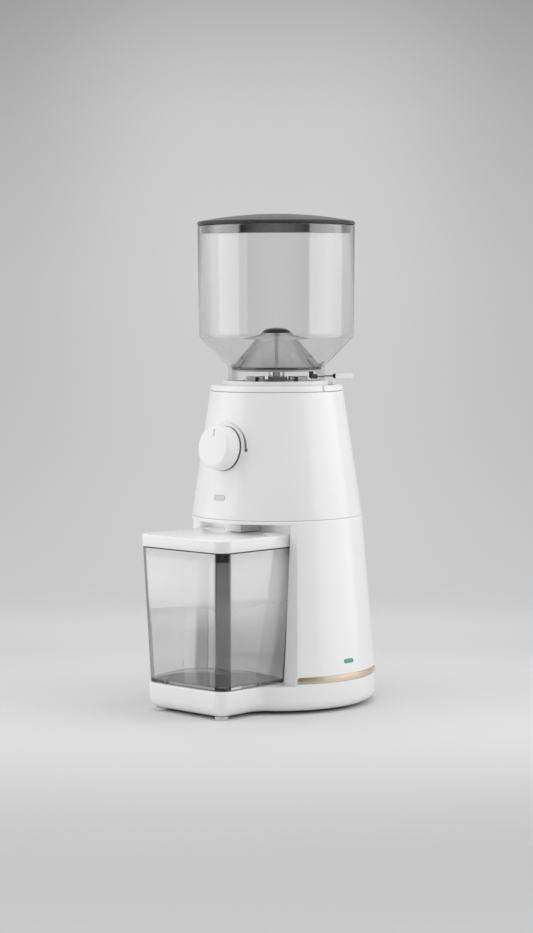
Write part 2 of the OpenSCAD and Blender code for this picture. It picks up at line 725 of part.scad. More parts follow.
lid_hw = cont_w / 2 + lid_over;
lid_back = cont_back - 0.1;
lid_back_r = 1.5;
spout_out = 15;
port_y = -spout_front + chute_wall + spout_out / 2;
module container_lid() color("white") on_axis() difference() {
  union() {
    difference() {
      translate([0, 0, lid_z]) round_slab(-lid_hw, lid_hw, -lid_reach, -lid_back,
        cont_corner_r + lid_over, lid_back_r, lid_t);
      translate([0, 0, lid_z - 1]) round_slab(-lid_hw + lid_wall, lid_hw - lid_wall,
        -lid_reach + lid_wall, -lid_back - lid_wall, cont_corner_r + lid_over - lid_wall,
        0.5, lid_t - lid_wall + 1);
    }
    // rim that carries the seal
    difference() {
      translate([0, 0, lid_z + seat_gap]) round_slab(-seal_hw + seal_t, seal_hw - seal_t,
        -seal_front + seal_t, -seal_back - seal_t, cont_corner_r - seal_t, 0.5, lid_t - seat_gap - 1);
      translate([0, 0, lid_z - 1]) round_slab(-seal_hw + seal_t + 2, seal_hw - seal_t - 2,
        -seal_front + seal_t + 2, -seal_back - seal_t - 2, cont_corner_r - seal_t - 2, 0.5, lid_t);
    }
    // tube around the grounds port
    translate([-port_w / 2 - 1.6, port_y - port_d / 2 - 1.6, lid_z + seat_gap])
      cube([port_w + 3.2, port_d + 3.2, lid_t - seat_gap - 1]);
  }
  translate([-port_w / 2, port_y - port_d / 2, lid_z - 1]) cube([port_w, port_d, lid_t + 2]);
}

seal_hw = cont_w / 2 - cont_wall - slide_gap - cont_draft_side * seal_h / cont_h;
seal_front = cont_reach - cont_wall - slide_gap - cont_draft_front * seal_h / cont_h;
seal_back = cont_back + cont_wall + slide_gap + cont_draft_back * seal_h / cont_h;
module container_seal() color("black") on_axis() difference() {
  translate([0, 0, lid_z - seal_h]) round_slab(-seal_hw, seal_hw, -seal_front, -seal_back,
    cont_corner_r - 1, 1.5, seal_h + seat_gap);
  translate([0, 0, lid_z - seal_h - 1]) round_slab(-seal_hw + seal_t, seal_hw - seal_t,
    -seal_front + seal_t, -seal_back - seal_t, cont_corner_r - 1 - seal_t, 0.5, seal_h + 2);
}

// --------------------------------------------------------------- hopper
guard_z = neck_top - guard_foot_t - 0.3;
gate_z = guard_z - slide_gap - gate_t;
shelf_z = guard_z - 1.2;

module hopper() color([0.85, 0.85, 0.85, 0.4]) on_axis() difference() {
  rotate_extrude($fn = 128) polygon([
    [neck_in, neck_z], [neck_r, neck_z], [neck_r, neck_top],
    [hopper_low_r, funnel_top], [hopper_r, hopper_top], [hopper_r - hopper_wall, hopper_top],
    [hopper_low_r - hopper_wall, funnel_top + 1], [neck_in, neck_top + 1]]);
  // slot that the gate's rod sweeps
  intersection() {
    ring(neck_r + 2, neck_in - 2, 2 * rod_r + 2 * slide_gap + 0.4, rod_z - rod_r - slide_gap - 0.2);
    sweep_wedge(lever_az - 3, lever_az + gate_travel + 3, neck_r + 10, rod_z - 4, 8);
  }
}

// wedge between two directions turned from the front towards the right
module sweep_wedge(a0, a1, r, z, h) translate([0, 0, z]) linear_extrude(h)
  polygon(concat([[0, 0]], [for (i = [0:6]) polar(r * 1.2, a0 + (a1 - a0) * i / 6)]));

module hopper_lid() color([0.3, 0.3, 0.3, 0.8]) on_axis() {
  cap_r = (cover_r * cover_r + cover_rise * cover_rise) / (2 * cover_rise);
  top = cover_z + cover_edge_h + cover_rise;
  difference() {
    intersection() {
      translate([0, 0, cover_z]) cylinder(r = cover_r, h = cover_edge_h + cover_rise + 1, $fn = 128);
      translate([0, 0, top - cap_r]) rotate_extrude($fn = 192) intersection() {
        circle(r = cap_r, $fn = 720);
        translate([0, cap_r - 40]) square([cover_r + 5, 60]);
      }
    }
    intersection() {
      translate([0, 0, cover_z - 1]) cylinder(r = hopper_r - hopper_wall - slide_gap - plug_t,
        h = cover_edge_h + cover_rise + 1, $fn = 128);
      translate([0, 0, top - cap_r]) rotate_extrude($fn = 192) intersection() {
        circle(r = cap_r - cover_t, $fn = 720);
        translate([0, cap_r - 40]) square([cover_r + 5, 60]);
      }
    }
  }
}

module lid_plug() color("black") on_axis()
  ring(hopper_r - hopper_wall - slide_gap - 0.2, hopper_r - hopper_wall - slide_gap - plug_t,
    plug_h, cover_z - plug_h);

guard_r = neck_in - slide_gap;
module bean_guard() color([0.5, 0.5, 0.5, 0.5]) on_axis() {
  top = guard_z + guard_h + guard_foot_t;
  difference() {
    union() {
      rotate_extrude() polygon([
        [guard_r - 4, guard_z], [guard_r, guard_z], [guard_r, guard_z + guard_foot_t],
        [guard_cap_r + 3.5, top - 3.2], [guard_cap_r, top - 0.8], [guard_cap_r - 3, top],
        [0, top], [0, top - guard_t], [guard_cap_r - 3.4, top - guard_t],
        [guard_cap_r - 1, top - guard_t - 0.8], [guard_cap_r + 1.6, top - 4.6],
        [guard_r - 2 * guard_t, guard_z + guard_foot_t], [guard_r - 4, guard_z + guard_foot_t]]);
      // middle post and its spider
      translate([0, 0, guard_z]) cylinder(r = 1.8, h = guard_h, $fn = 32);
      for (a = [45, 135]) rotate([0, 0, a]) translate([-guard_r + 2, -1, guard_z])
        cube([2 * guard_r - 4, 2, guard_foot_t]);
    }
    // two windows that let the beans through
    for (a = [0, 180]) rotate([0, 0, lever_az + a]) translate([-12, -guard_r - 1, guard_z + guard_foot_t])
      cube([24, guard_r - 14, 9]);
  }
}

module gate_plate() color("white") on_axis() difference() {
  translate([0, 0, gate_z]) cylinder(r = neck_in - slide_gap, h = gate_t);
  translate([0, 0, gate_z - 1]) cylinder(r = nut_r + 1, h = gate_t + 2, $fn = 48);
  for (a = [lever_az + 60, lever_az + 180, lever_az + 300]) intersection() {
    ring(neck_in - 5, nut_r + 5, gate_t + 2, gate_z - 1);
    sweep_wedge(a - 29, a + 29, neck_in, gate_z - 1, gate_t + 2);
  }
}

module lever_frame() on_axis() rotate([0, 0, lever_az]) children();
boss_at = 29.5;
module gate_rod() color("black") lever_frame() {
  translate([0, -boss_at, rod_z - 1.6]) cylinder(r = 2.4, h = gate_z - rod_z + 1.6, $fn = 32);
  translate([0, -boss_at, rod_z]) rotate([90, 0, 0])
    cylinder(r = rod_r, h = tab_start - boss_at + 3, $fn = 24);
  translate([0, -tab_start + 2.6, rod_z]) rotate([90, 0, 0]) cylinder(r = 1.5, h = 2.6, $fn = 32);
}

module gate_tab() color("white") lever_frame() difference() {
  translate([-tab_w / 2, -tab_start - tab_len + 2, rod_z - tab_h / 2])
    cube([tab_w, tab_len - 2, tab_h]);
  translate([0, -tab_start + 1, rod_z]) rotate([90, 0, 0])
    cylinder(r = rod_r + run_gap, h = 5, $fn = 24);
}

// --------------------------------------------------------------- collar
collar_in = neck_in - collar_ledge;
spline_in = collar_in - 0.2;
module collar() color("white") on_axis() {
  difference() {
    union() {
      translate([0, 0, collar_z]) cylinder(r = collar_r, h = collar_top - collar_z);
      // thumb lug on the lever's side
      intersection() {
        translate([0, 0, rim_top + slide_gap]) rotate([0, 0, lever_az - 8]) translate([-7, -collar_r - lug_reach, 0])
          cube([14, collar_r, collar_rise - slide_gap]);
        translate([0, 0, rim_top]) cylinder(r = collar_r + lug_reach, h = collar_rise);
      }
    }
    translate([0, 0, collar_z - 1]) cylinder(r = collar_in, h = 20);
    translate([0, 0, neck_z - slide_gap]) cylinder(r = collar_bore, h = 20);
  }
}

// ----------------------------------------------------------------- burrs
chamber_top = rim_z - wall;
chamber_z = chamber_top - chamber_h;
floor_t = 3;
sweeper_z = chamber_z + floor_t + 2;
cone_z = sweeper_z + 12;
ring_z = cone_z + 2;
carrier_top = collar_z + 6;
flange_t = 4;
ear_r = 26.4;

module burr_carrier() color("white") on_axis() difference() {
  union() {
    translate([0, 0, ring_z - 4]) cylinder(r = carrier_r, h = carrier_top - ring_z + 4);
    // two ears beside the feed throat
    for (s = [0, 180]) rotate([0, 0, lever_az + s]) intersection() {
      translate([-9, -ear_r, carrier_top - 1])
        cube([18, ear_r - throat_r - 0.3, collar_top + 3.4 - carrier_top + 1]);
      translate([0, 0, carrier_top - 1]) cylinder(r = ear_r, h = 40);
    }
  }
  translate([0, 0, ring_z - 5]) cylinder(r = ring_burr_r + seat_gap, h = ring_burr_h + 5);
  translate([0, 0, ring_z]) cylinder(r = throat_r + seat_gap, h = 90);
}

module ring_burr() color("dimgray") on_axis() difference() {
  translate([0, 0, ring_z]) cylinder(r = ring_burr_r, h = ring_burr_h);
  translate([0, 0, ring_z - eps]) cylinder(r1 = cone_burr_r + 1.2, r2 = 14, h = ring_burr_h + 2 * eps);
  for (i = [0:11]) rotate([0, 0, i * 30]) translate([-1, 9, ring_z + 4])
    rotate([0, 0, 20]) cube([2, 9, ring_burr_h]);
}

module feed_throat() color("#222222") on_axis() difference() {
  ring(throat_r, throat_r - 1.8, collar_top + 3.2 - ring_z - ring_burr_h, ring_z + ring_burr_h);
  for (i = [0:5]) rotate([0, 0, i * 60 + 14]) translate([-2.2, throat_r - 4, collar_top + 0.6])
    cube([4.4, 6, 6]);
}

module cone_burr() color("dimgray") on_axis() difference() {
  union() {
    translate([0, 0, cone_z]) cylinder(r1 = cone_burr_r, r2 = cone_burr_r - 1, h = 3);
    translate([0, 0, cone_z + 3]) cylinder(r1 = cone_burr_r - 1, r2 = 8, h = cone_burr_h - 3);
    for (i = [0:7]) rotate([0, 0, i * 45]) translate([0, 0, cone_z + 9]) rotate([0, 0, 18])
      translate([-0.9, 0, 0]) cube([1.8, 12, cone_burr_h - 9 - 3]);
  }
  translate([0, 0, cone_z - 1]) cylinder(r = shaft_r + run_gap, h = cone_burr_h + 2, $fn = 48);
}

module burr_nut() color("silver") on_axis() difference() {
  union() {
    translate([0, 0, cone_z + cone_burr_h]) cylinder(r = nut_r, h = gate_z - 0.5 - cone_z - cone_burr_h);
    // wiper pin that stirs the beans into the burrs
    rotate([0, 0, 97]) {
      translate([-1, -10, collar_top - 2]) cube([2, 10, 1.6]);
      translate([0, -10, collar_top - 2]) cylinder(r = 1, h = 5.4, $fn = 24);
    }
  }
  translate([0, 0, cone_z + cone_burr_h - 1]) cylinder(r = shaft_r + run_gap, h = 13, $fn = 48);
}

gear_z = seam_z + chassis_t + 2.7;
module grinding_shaft() color("silver") on_axis() translate([0, 0, seam_z])
  cylinder(r = shaft_r, h = cone_z + cone_burr_h + 11 - seam_z, $fn = 48);

bearing_r = 9;
bearing_t = 5;
module shaft_bearings() color("silver") on_axis() {
  ring(bearing_r, shaft_r + run_gap, chassis_t, seam_z);
  ring(bearing_r, shaft_r + run_gap, bearing_t, case_roof - bearing_t + case_t);
}

module sweeper() color("dimgray") on_axis() difference() {
  union() {
    translate([0, 0, sweeper_z]) cylinder(r = sweeper_r, h = 2.4);
    translate([0, 0, sweeper_z]) cylinder(r = 10, h = cone_z - sweeper_z);
    for (i = [0:3]) rotate([0, 0, i * 90 + 30]) translate([-1, 8, sweeper_z])
      cube([2, sweeper_r - 8.5, 9]);
  }
  translate([0, 0, sweeper_z - 1]) cylinder(r = shaft_r + run_gap, h = 30, $fn = 48);
}

outlet_w = chute_w - 2 * chute_wall;
module grinding_chamber() color("lightgray") on_axis() difference() {
  union() {
    translate([0, 0, case_roof + case_t]) cylinder(r = chamber_r, h = chamber_top - case_roof - case_t);
    ring(rim_screw_r + 3.6, chamber_r - 1, flange_t, chamber_top - flange_t);
    translate([-chute_w / 2, -chamber_r - 0.5, chamber_z]) cube([chute_w, 20, 23]);
  }
  translate([0, 0, ring_z - 5]) cylinder(r = carrier_bore, h = 90);
  translate([0, 0, chamber_z + floor_t]) cylinder(r = sweeper_r + 0.8, h = ring_z);
  translate([0, 0, case_roof + case_t - 1]) cylinder(r = chamber_r - 3, h = chamber_z - case_roof - case_t - 2);
  translate([0, 0, chamber_z - 9]) cylinder(r = shaft_r + slide_gap, h = 20, $fn = 48);
  translate([-outlet_w / 2, -chamber_r - 2, chamber_z + floor_t]) cube([outlet_w, 26, 17]);
  for (a = rim_screw_az) translate([polar(rim_screw_r, a)[0], polar(rim_screw_r, a)[1], chamber_top - flange_t - 1])
    cylinder(r = screw_r + seat_gap, h = flange_t + 2, $fn = 32);
}

// chute outline [y, z], drawn in by i, open at both ends by o
chute_back = chamber_r + 0.5;
module chute_form(w, i, o) yz_prism(w, [
  [-chute_back + o, chamber_z + 23 - i], [-chute_back - 4, chamber_z + 22 - i],
  [-chute_back - 10 + i, chamber_z + 14], [-chute_back - 10 + i, chamber_z - 12],
  [-spout_front + i, chamber_z - 26], [-spout_front + i, spout_z - o],
  [-spout_front + chute_wall + (i > 0 ? spout_out : spout_d - chute_wall), spout_z - o],
  [-spout_front + spout_d - i, case_top_z - 14], [-spout_front + spout_d - i, case_top_z - 9],
  [-chute_back - i, case_top_z - 0.6], [-chute_back - i, chamber_z + i + 1],
  [-chute_back + o, chamber_z + i + 1]]);
spout_z = lid_top + 0.6;
case_top_z = case_roof + case_t;
module chute() color("white") on_axis() difference() {
  chute_form(chute_w, 0, 0);
  chute_form(outlet_w, chute_wall, 1);
}

// ----------------------------------------------------------------- drive
pitch_pinion = gear_m * pinion_z / 2;
pitch_big = gear_m * idler_big_z / 2;
pitch_small = gear_m * idler_small_z / 2;
pitch_out = gear_m * output_z / 2;
d1 = pitch_pinion + pitch_big;
d2 = pitch_small + pitch_out;
idler_y = (d2 * d2 - d1 * d1 + motor_back * motor_back) / (2 * motor_back);
idler_x = sqrt(d2 * d2 - idler_y * idler_y);

// gear with plain flanks; a tooth points towards +X at turn = 0
module gear(z, h, turn = 0) rotate([0, 0, turn]) linear_extrude(h) polygon([
  for (i = [0:z - 1]) for (p = [[-0.30, -1.15], [-0.13, 0.75], [0.13, 0.75], [0.30, -1.15]])
    let (r = gear_m * (z / 2 + p[1]), a = 360 * (i + p[0]) / z)
    [r * cos(a), r * sin(a)]]);

// direction of the idler seen from the two other axes
dir_out = atan2(idler_y, idler_x);
dir_motor = atan2(idler_y - motor_back, idler_x);
big_turn = 180 + dir_motor + 180 / idler_big_z;
small_turn = 180 + dir_out + 180 / idler_small_z;

module output_gear() color("gainsboro") on_axis() difference() {
  union() {
    translate([0, 0, gear_z + 8]) gear(output_z, 7, dir_out);
    translate([0, 0, gear_z]) cylinder(r = shaft_r + 1.5, h = 15);
    translate([0, 0, gear_z + 8]) cylinder(r = 9, h = case_roof - bearing_t + case_t - 0.4 - gear_z - 8);
  }
  translate([0, 0, gear_z - 1]) cylinder(r = shaft_r + run_gap, h = 31, $fn = 48);
}

module idler_gear() color("gainsboro") on_axis() translate([idler_x, idler_y, 0]) difference() {
  union() {
    translate([0, 0, gear_z]) gear(idler_big_z, 6, big_turn);
    translate([0, 0, gear_z + 6 - eps]) gear(idler_small_z, 9 + eps, small_turn);
  }
  translate([0, 0, gear_z - 1]) cylinder(r = axle_r + run_gap, h = 30, $fn = 48);
}

module idler_axle() color("silver") on_axis() translate([idler_x, idler_y, seam_z])
  cylinder(r = axle_r, h = chassis_t + case_h, $fn = 48);

module case_plan(i, h) {
  cylinder(r = pitch_out + 4 - i, h = h);
  translate([idler_x, idler_y, 0]) cylinder(r = pitch_big + 4 - i, h = h);
  translate([0, motor_back, 0]) cylinder(r = pitch_pinion + 6 - i, h = h);
}

gear_screw_off = 4 + screw_head_r + 0.3;
gear_screw_pos = [polar(pitch_out + gear_screw_off, 270), polar(pitch_out + gear_screw_off, 228),
  for (a = [95, -60]) [idler_x + (pitch_big + gear_screw_off) * cos(a),
    idler_y + (pitch_big + gear_screw_off) * sin(a)]];
module gear_cover() color("lightgray") on_axis() difference() {
  union() {
    translate([0, 0, seam_z + chassis_t]) case_plan(0, case_h + case_t);
    for (p = gear_screw_pos) translate([p[0], p[1], seam_z + chassis_t])
      cylinder(r = boss_r, h = gear_boss_h, $fn = 48);
  }
  translate([0, 0, seam_z + chassis_t - 1]) case_plan(case_t, case_h + 1);
  translate([0, 0, case_roof - 5]) cylinder(r = bearing_r + run_gap, h = 20);
  for (p = gear_screw_pos) translate([p[0], p[1], seam_z + chassis_t - 1])
    cylinder(r = screw_r + seat_gap, h = gear_boss_h + 2, $fn = 32);
}

module gear_screws() color("silver") on_axis() for (p = gear_screw_pos)
  translate([p[0], p[1], seam_z + chassis_t + gear_boss_h])
  mirror([0, 0, 1]) screw(gear_boss_h + chassis_t);

motor_screw_pos = [for (a = [90, 210, 330]) [polar(motor_screw_off, a)[0], motor_back + polar(motor_screw_off, a)[1]]];
module motor_screws() color("silver") on_axis() for (p = motor_screw_pos)
  translate([p[0], p[1], seam_z + chassis_t]) mirror([0, 0, 1]) screw(chassis_t + 4);

module chassis() color("lightgray") on_axis() difference() {
  intersection() {
    translate([0, 0, seam_z]) cylinder(r = up_r(seam_z + chassis_t) - wall - slide_gap, h = chassis_t);
    translate([-seam_r, bay_y(lip_z) + 1.4, seam_z]) cube([2 * seam_r, 2 * seam_r, chassis_t]);
  }
  translate([0, 0, seam_z - 1]) cylinder(r = bearing_r + run_gap, h = chassis_t + 2);
  translate([0, motor_back, seam_z - 1]) cylinder(r = pitch_pinion + 2, h = chassis_t + 2);
  translate([idler_x, idler_y, seam_z - 1]) cylinder(r = axle_r + run_gap, h = chassis_t + 2, $fn = 48);
  for (a = body_screw_az) translate([polar(body_screw_r, a)[0], polar(body_screw_r, a)[1], seam_z - 1])
    cylinder(r = screw_r + seat_gap, h = chassis_t + 2, $fn = 32);
  for (p = concat(gear_screw_pos, motor_screw_pos)) translate([p[0], p[1], seam_z - 1])
    cylinder(r = screw_r + run_gap, h = chassis_t + 2, $fn = 32);
}

can_z = seam_z - motor_h;
module motor_can() color("silver") on_axis() translate([0, motor_back, 0]) difference() {
  translate([0, 0, can_z]) cylinder(r = motor_r, h = motor_h);
  translate([0, 0, can_z - 1]) cylinder(r = motor_r - can_wall, h = motor_h - 1);
  translate([0, 0, can_z]) cylinder(r = motor_shaft_r + run_gap, h = motor_h + 2, $fn = 48);
  for (p = motor_screw_pos) translate([p[0], p[1] - motor_back, seam_z - 6])
    cylinder(r = screw_r + run_gap, h = 8, $fn = 32);
}

module motor_end_cap() color("dimgray") on_axis() translate([0, motor_back, 0]) difference() {
  union() {
    translate([0, 0, can_z - 4]) cylinder(r = motor_r, h = 4);
    translate([0, 0, can_z]) cylinder(r = motor_r - can_wall - seat_gap, h = 3);
  }
  translate([0, 0, can_z - 5]) cylinder(r = motor_shaft_r + run_gap, h = 10, $fn = 48);
  for (i = [0:5]) rotate([0, 0, i * 60]) translate([14, -3, can_z - 5]) cube([11, 6, 10]);
}

module motor_magnets() color("dimgray") on_axis() translate([0, motor_back, seam_z - magnet_h - 10])
  for (s = [0, 180]) rotate([0, 0, s]) intersection() {
    ring(motor_r - can_wall - 0.1, motor_r - can_wall - 0.1 - magnet_t, magnet_h);
    translate([0, -magnet_w / 2, 0]) cube([2 * motor_r, magnet_w, motor_h]);
  }

module motor_rotor() color("brown") on_axis() translate([0, motor_back, 0]) {
  translate([0, 0, can_z - 14]) cylinder(r = motor_shaft_r, h = motor_h + 14 + chassis_t + 9, $fn = 48);
  translate([0, 0, can_z + 14]) cylinder(r = motor_r - 8, h = motor_h - 28);
  translate([0, 0, can_z + 6]) cylinder(r = 8, h = motor_h - 14);
}

module motor_pinion() color("silver") on_axis() translate([0, motor_back, gear_z - 0.5]) difference() {
  gear(pinion_z, 7, dir_motor);
  translate([0, 0, -1]) cylinder(r = motor_shaft_r + run_gap, h = 10, $fn = 48);
}

module motor_fan() color("dimgray") on_axis() translate([0, motor_back, can_z - 13]) difference() {
  union() {
    cylinder(r = 6, h = 8);
    cylinder(r = 25, h = 1.2);
    for (i = [0:8]) rotate([0, 0, i * 40]) translate([4, -0.6, 0]) cube([20.5, 1.2, 7]);
  }
  translate([0, 0, -1]) cylinder(r = motor_shaft_r + run_gap, h = 12, $fn = 48);
}

// -------------------------------------------------------------- controls
bezel_r = dial_r - 1.2;
panel_depth = 12.4;
panel_y = [11, -50];
board_y = -20.4;
board_x = board_w / 2 - board_screw_in;
panel_x = panel_w / 2 - panel_screw_in;
board_z = [base_top + 24, base_top + 96];

module dial() color("white") up_face(dial_z) difference() {
  union() {
    translate([0, 0, 0.7]) cylinder(r1 = dial_r, r2 = dial_face_r, h = dial_h - 1.2);
    translate([0, 0, dial_h - 0.5 - eps]) cylinder(r1 = dial_face_r, r2 = dial_face_r - 1, h = 1);
  }
  translate([0, 0, -1]) cylinder(r = spindle_r + run_gap, h = 9, $fn = 48);
  // pointer line
  translate([-0.5, 8.5, dial_h + 0.2]) cube([1, 6.5, 2]);
}

module dial_bezel() color("#333333") up_face(dial_z) difference() {
  union() {
    translate([0, 0, -wall - 2.4]) cylinder(r = bezel_r - seat_gap, h = wall + 2.7);
    translate([0, 0, -wall - 4]) cylinder(r = bezel_r - seat_gap, h = 2);
  }
  translate([0, 0, -wall - 5]) cylinder(r = spindle_r + slide_gap, h = 20, $fn = 48);
}

// crescent scale with a tick above and a dot on the right
module scale_cut(g) intersection() {
  translate([0, -axis_y, 0]) up_face(dial_z) translate([0, 0, -8]) {
    difference() {
      cylinder(r = scale_r + g, h = 16);
      translate([-0.45, 0, -1]) cylinder(r = scale_r - 0.55, h = 20);
      translate([-40, -40, -1]) cube([80, 40, 20]);
      translate([-2.6, scale_r - 3, -1]) cube([5.2, 5, 20]);
    }
    translate([-0.5, scale_r - 1.6, 0]) cube([1, 3, 16]);
    translate([scale_r - 0.6, 0, 0]) cylinder(r = 1.5, h = 16, $fn = 32);
  }
  difference() {
    up_cone(-1, seam_z + 20, rim_z - 10);
    up_cone(0.35, seam_z + 19, rim_z - 9);
  }
}
module dial_scale() color("#555555") on_axis() intersection() {
  scale_cut(0);
  up_cone(0, seam_z + 20, rim_z - 10);
}

module dial_encoder() color("silver") up_face(dial_z) {
  translate([-encoder_w / 2, -encoder_w / 2, -panel_depth])
    cube([encoder_w, encoder_w, panel_depth - wall - 4.3]);
}

module dial_spindle() color("silver") up_face(dial_z) translate([0, 0, -wall - 4.2])
  cylinder(r = spindle_r, h = wall + 4.2 + 7.5, $fn = 48);

module start_button() color("lightgray") up_face(button_z) {
  translate([0, 0, -6.8]) pill(button_w, button_h, 7.1);
  translate([0, 0, -6.8]) pill(button_w + 3, button_h + 3, 1.2);
}

module start_switch() color("black") up_face(button_z) {
  translate([-switch_w / 2, -switch_w / 2, -panel_depth]) cube([switch_w, switch_w, switch_w / 2]);
  translate([0, 0, -panel_depth]) cylinder(r = 1.6, h = 4, $fn = 32);
}

module panel_board() color("darkgreen") up_face(dial_z) difference() {
  translate([-panel_w / 2, panel_y[1] - 4, -panel_depth - board_t])
    cube([panel_w, panel_y[0] - panel_y[1] + 8, board_t]);
  for (x = [-panel_x, panel_x], y = panel_y) translate([x, y, -panel_depth - board_t - 1.4])
    cylinder(r = panel_screw_r + 0.15, h = 6, $fn = 24);
}

module panel_screws() color("silver") up_face(dial_z) for (x = [-panel_x, panel_x], y = panel_y)
  translate([x, y, -panel_depth - board_t]) {
    cylinder(r = panel_screw_r, h = panel_screw_len, $fn = 24);
    translate([0, 0, -1.2]) cylinder(r = 2 * panel_screw_r, h = 1.2, $fn = 24);
  }

module board_screws() color("silver") on_axis() for (x = [-board_x, board_x], z = board_z)
  translate([x, board_y, z]) rotate([90, 0, 0]) screw(board_screw_len);

module control_board() color("darkgreen") on_axis() difference() {
  union() {
    translate([-board_w / 2, board_y - board_t, board_z[0] - board_screw_in])
      cube([board_w, board_t, board_z[1] - board_z[0] + 2 * board_screw_in]);
    translate([6 - board_x, board_y, board_z[0] + 4]) cube([board_w / 5 + 1.2, 13, 16]);
    translate([-4, board_y, board_z[0] + 2]) cube([board_w / 5 - 0.8, 12, 24]);
    translate([board_x - 10, board_y, board_z[0] + 12]) rotate([-90, 0, 0]) cylinder(r = 8, h = 15, $fn = 48);
    translate([6 - board_x, board_y, board_z[0] + 44]) cube([2 * board_x - 12, 6, 9]);
  }
  for (x = [-board_x, board_x], z = board_z) translate([x, board_y + 2, z]) rotate([90, 0, 0])
    cylinder(r = screw_r + seat_gap, h = 6, $fn = 32);
}

base();
bottom_plate();
feet();
base_screws();
lower_housing();
trim_band();
power_lens();
cord_gland();
upper_housing();
top_rim();
rim_screws();
body_screws();
housing_screws();
container();
container_lid();
container_seal();
hopper();
hopper_lid();
lid_plug();
bean_guard();
gate_plate();
gate_rod();
gate_tab();
collar();
burr_carrier();
ring_burr();
feed_throat();
cone_burr();
burr_nut();
grinding_shaft();
shaft_bearings();
sweeper();
grinding_chamber();
chute();
chassis();
gear_cover();
gear_screws();
output_gear();
idler_gear();
idler_axle();
motor_can();
motor_end_cap();
motor_magnets();
motor_rotor();
motor_pinion();
motor_fan();
dial();
dial_bezel();
dial_scale();
dial_encoder();
start_button();
start_switch();
panel_board();
control_board();
motor_screws();
dial_spindle();
panel_screws();
board_screws();
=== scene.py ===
import bmesh
import bpy
import json
import math
from mathutils import Matrix, Vector


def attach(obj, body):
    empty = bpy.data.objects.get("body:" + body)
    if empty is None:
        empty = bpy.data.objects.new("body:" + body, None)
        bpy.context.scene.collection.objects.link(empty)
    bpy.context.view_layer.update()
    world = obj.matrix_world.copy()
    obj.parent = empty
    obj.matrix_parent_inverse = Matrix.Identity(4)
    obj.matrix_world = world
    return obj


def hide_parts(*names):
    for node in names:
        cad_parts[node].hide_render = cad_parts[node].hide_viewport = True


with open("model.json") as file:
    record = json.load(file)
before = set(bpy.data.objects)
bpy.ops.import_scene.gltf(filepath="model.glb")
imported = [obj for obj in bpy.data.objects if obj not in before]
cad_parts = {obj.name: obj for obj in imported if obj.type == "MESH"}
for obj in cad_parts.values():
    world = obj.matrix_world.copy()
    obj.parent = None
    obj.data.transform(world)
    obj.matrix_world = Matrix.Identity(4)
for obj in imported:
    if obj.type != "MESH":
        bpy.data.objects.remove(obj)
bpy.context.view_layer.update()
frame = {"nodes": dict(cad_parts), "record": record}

MM = 0.001
AXIS_Y = 16.85          # the burr axis, behind the middle of the whole
VIEW_AZ = 43.8          # the photograph's direction, turned from the front to the right


def at(x, y, z):
    """A point given in millimetres from the burr axis, in the row frame."""
    return Vector((x * MM, (y + AXIS_Y) * MM, z * MM))


# ------------------------------------------------------------------ camera
def make_camera():
    phi, dist, height = math.radians(VIEW_AZ), 2074.0, 349.35
    pitch, roll, off = math.radians(4.1187), math.radians(0.19), 8.84
    cam = bpy.data.objects.new("camera", bpy.data.cameras.new("camera"))
    cam.data.lens = 94.147
    cam.data.sensor_width = 36.0
    cam.data.clip_end = 50.0
    cam.location = at(-off * math.cos(phi) + dist * math.sin(phi),
                      -off * math.sin(phi) - dist * math.cos(phi), height)
    cam.rotation_euler = (Matrix.Rotation(phi, 4, "Z")
                          @ Matrix.Rotation(math.pi / 2 - pitch, 4, "X")
                          @ Matrix.Rotation(-roll, 4, "Z")).to_euler()
    bpy.context.scene.collection.objects.link(cam)
    bpy.context.scene.camera = cam
    return cam


camera = make_camera()


# --------------------------------------------------------------- materials
def nodes_of(name):
    mat = bpy.data.materials.new(name)
    mat.use_nodes = True
    tree = mat.node_tree
    tree.nodes.clear()
    out = tree.nodes.new("ShaderNodeOutputMaterial")
    return mat, tree, out


def grain(tree, scale, stretch=(1, 1, 1), detail=3.0):
    """Noise over the piece's own place in the row frame."""
    coord = tree.nodes.new("ShaderNodeTexCoord")
    mapping = tree.nodes.new("ShaderNodeMapping")
    mapping.inputs["Scale"].default_value = stretch
    noise = tree.nodes.new("ShaderNodeTexNoise")
    noise.inputs["Scale"].default_value = scale
    noise.inputs["Detail"].default_value = detail
    tree.links.new(coord.outputs["Object"], mapping.inputs["Vector"])
    tree.links.new(mapping.outputs["Vector"], noise.inputs["Vector"])
    return noise.outputs["Fac"]


def span(tree, value, low, high):
    m = tree.nodes.new("ShaderNodeMapRange")
    m.inputs["From Min"].default_value = 0.3
    m.inputs["From Max"].default_value = 0.7
    m.inputs["To Min"].default_value = low
    m.inputs["To Max"].default_value = high
    tree.links.new(value, m.inputs["Value"])
    return m.outputs["Result"]


def tint(tree, value, color, spread):
    """Colour that varies a little about one tone."""
    mix = tree.nodes.new("ShaderNodeMix")
    mix.data_type = "RGBA"
    mix.inputs["A"].default_value = (*[c * (1 - spread) for c in color], 1)
    mix.inputs["B"].default_value = (*[min(1.0, c * (1 + spread)) for c in color], 1)
    tree.links.new(value, mix.inputs["Factor"])
    return mix.outputs["Result"]


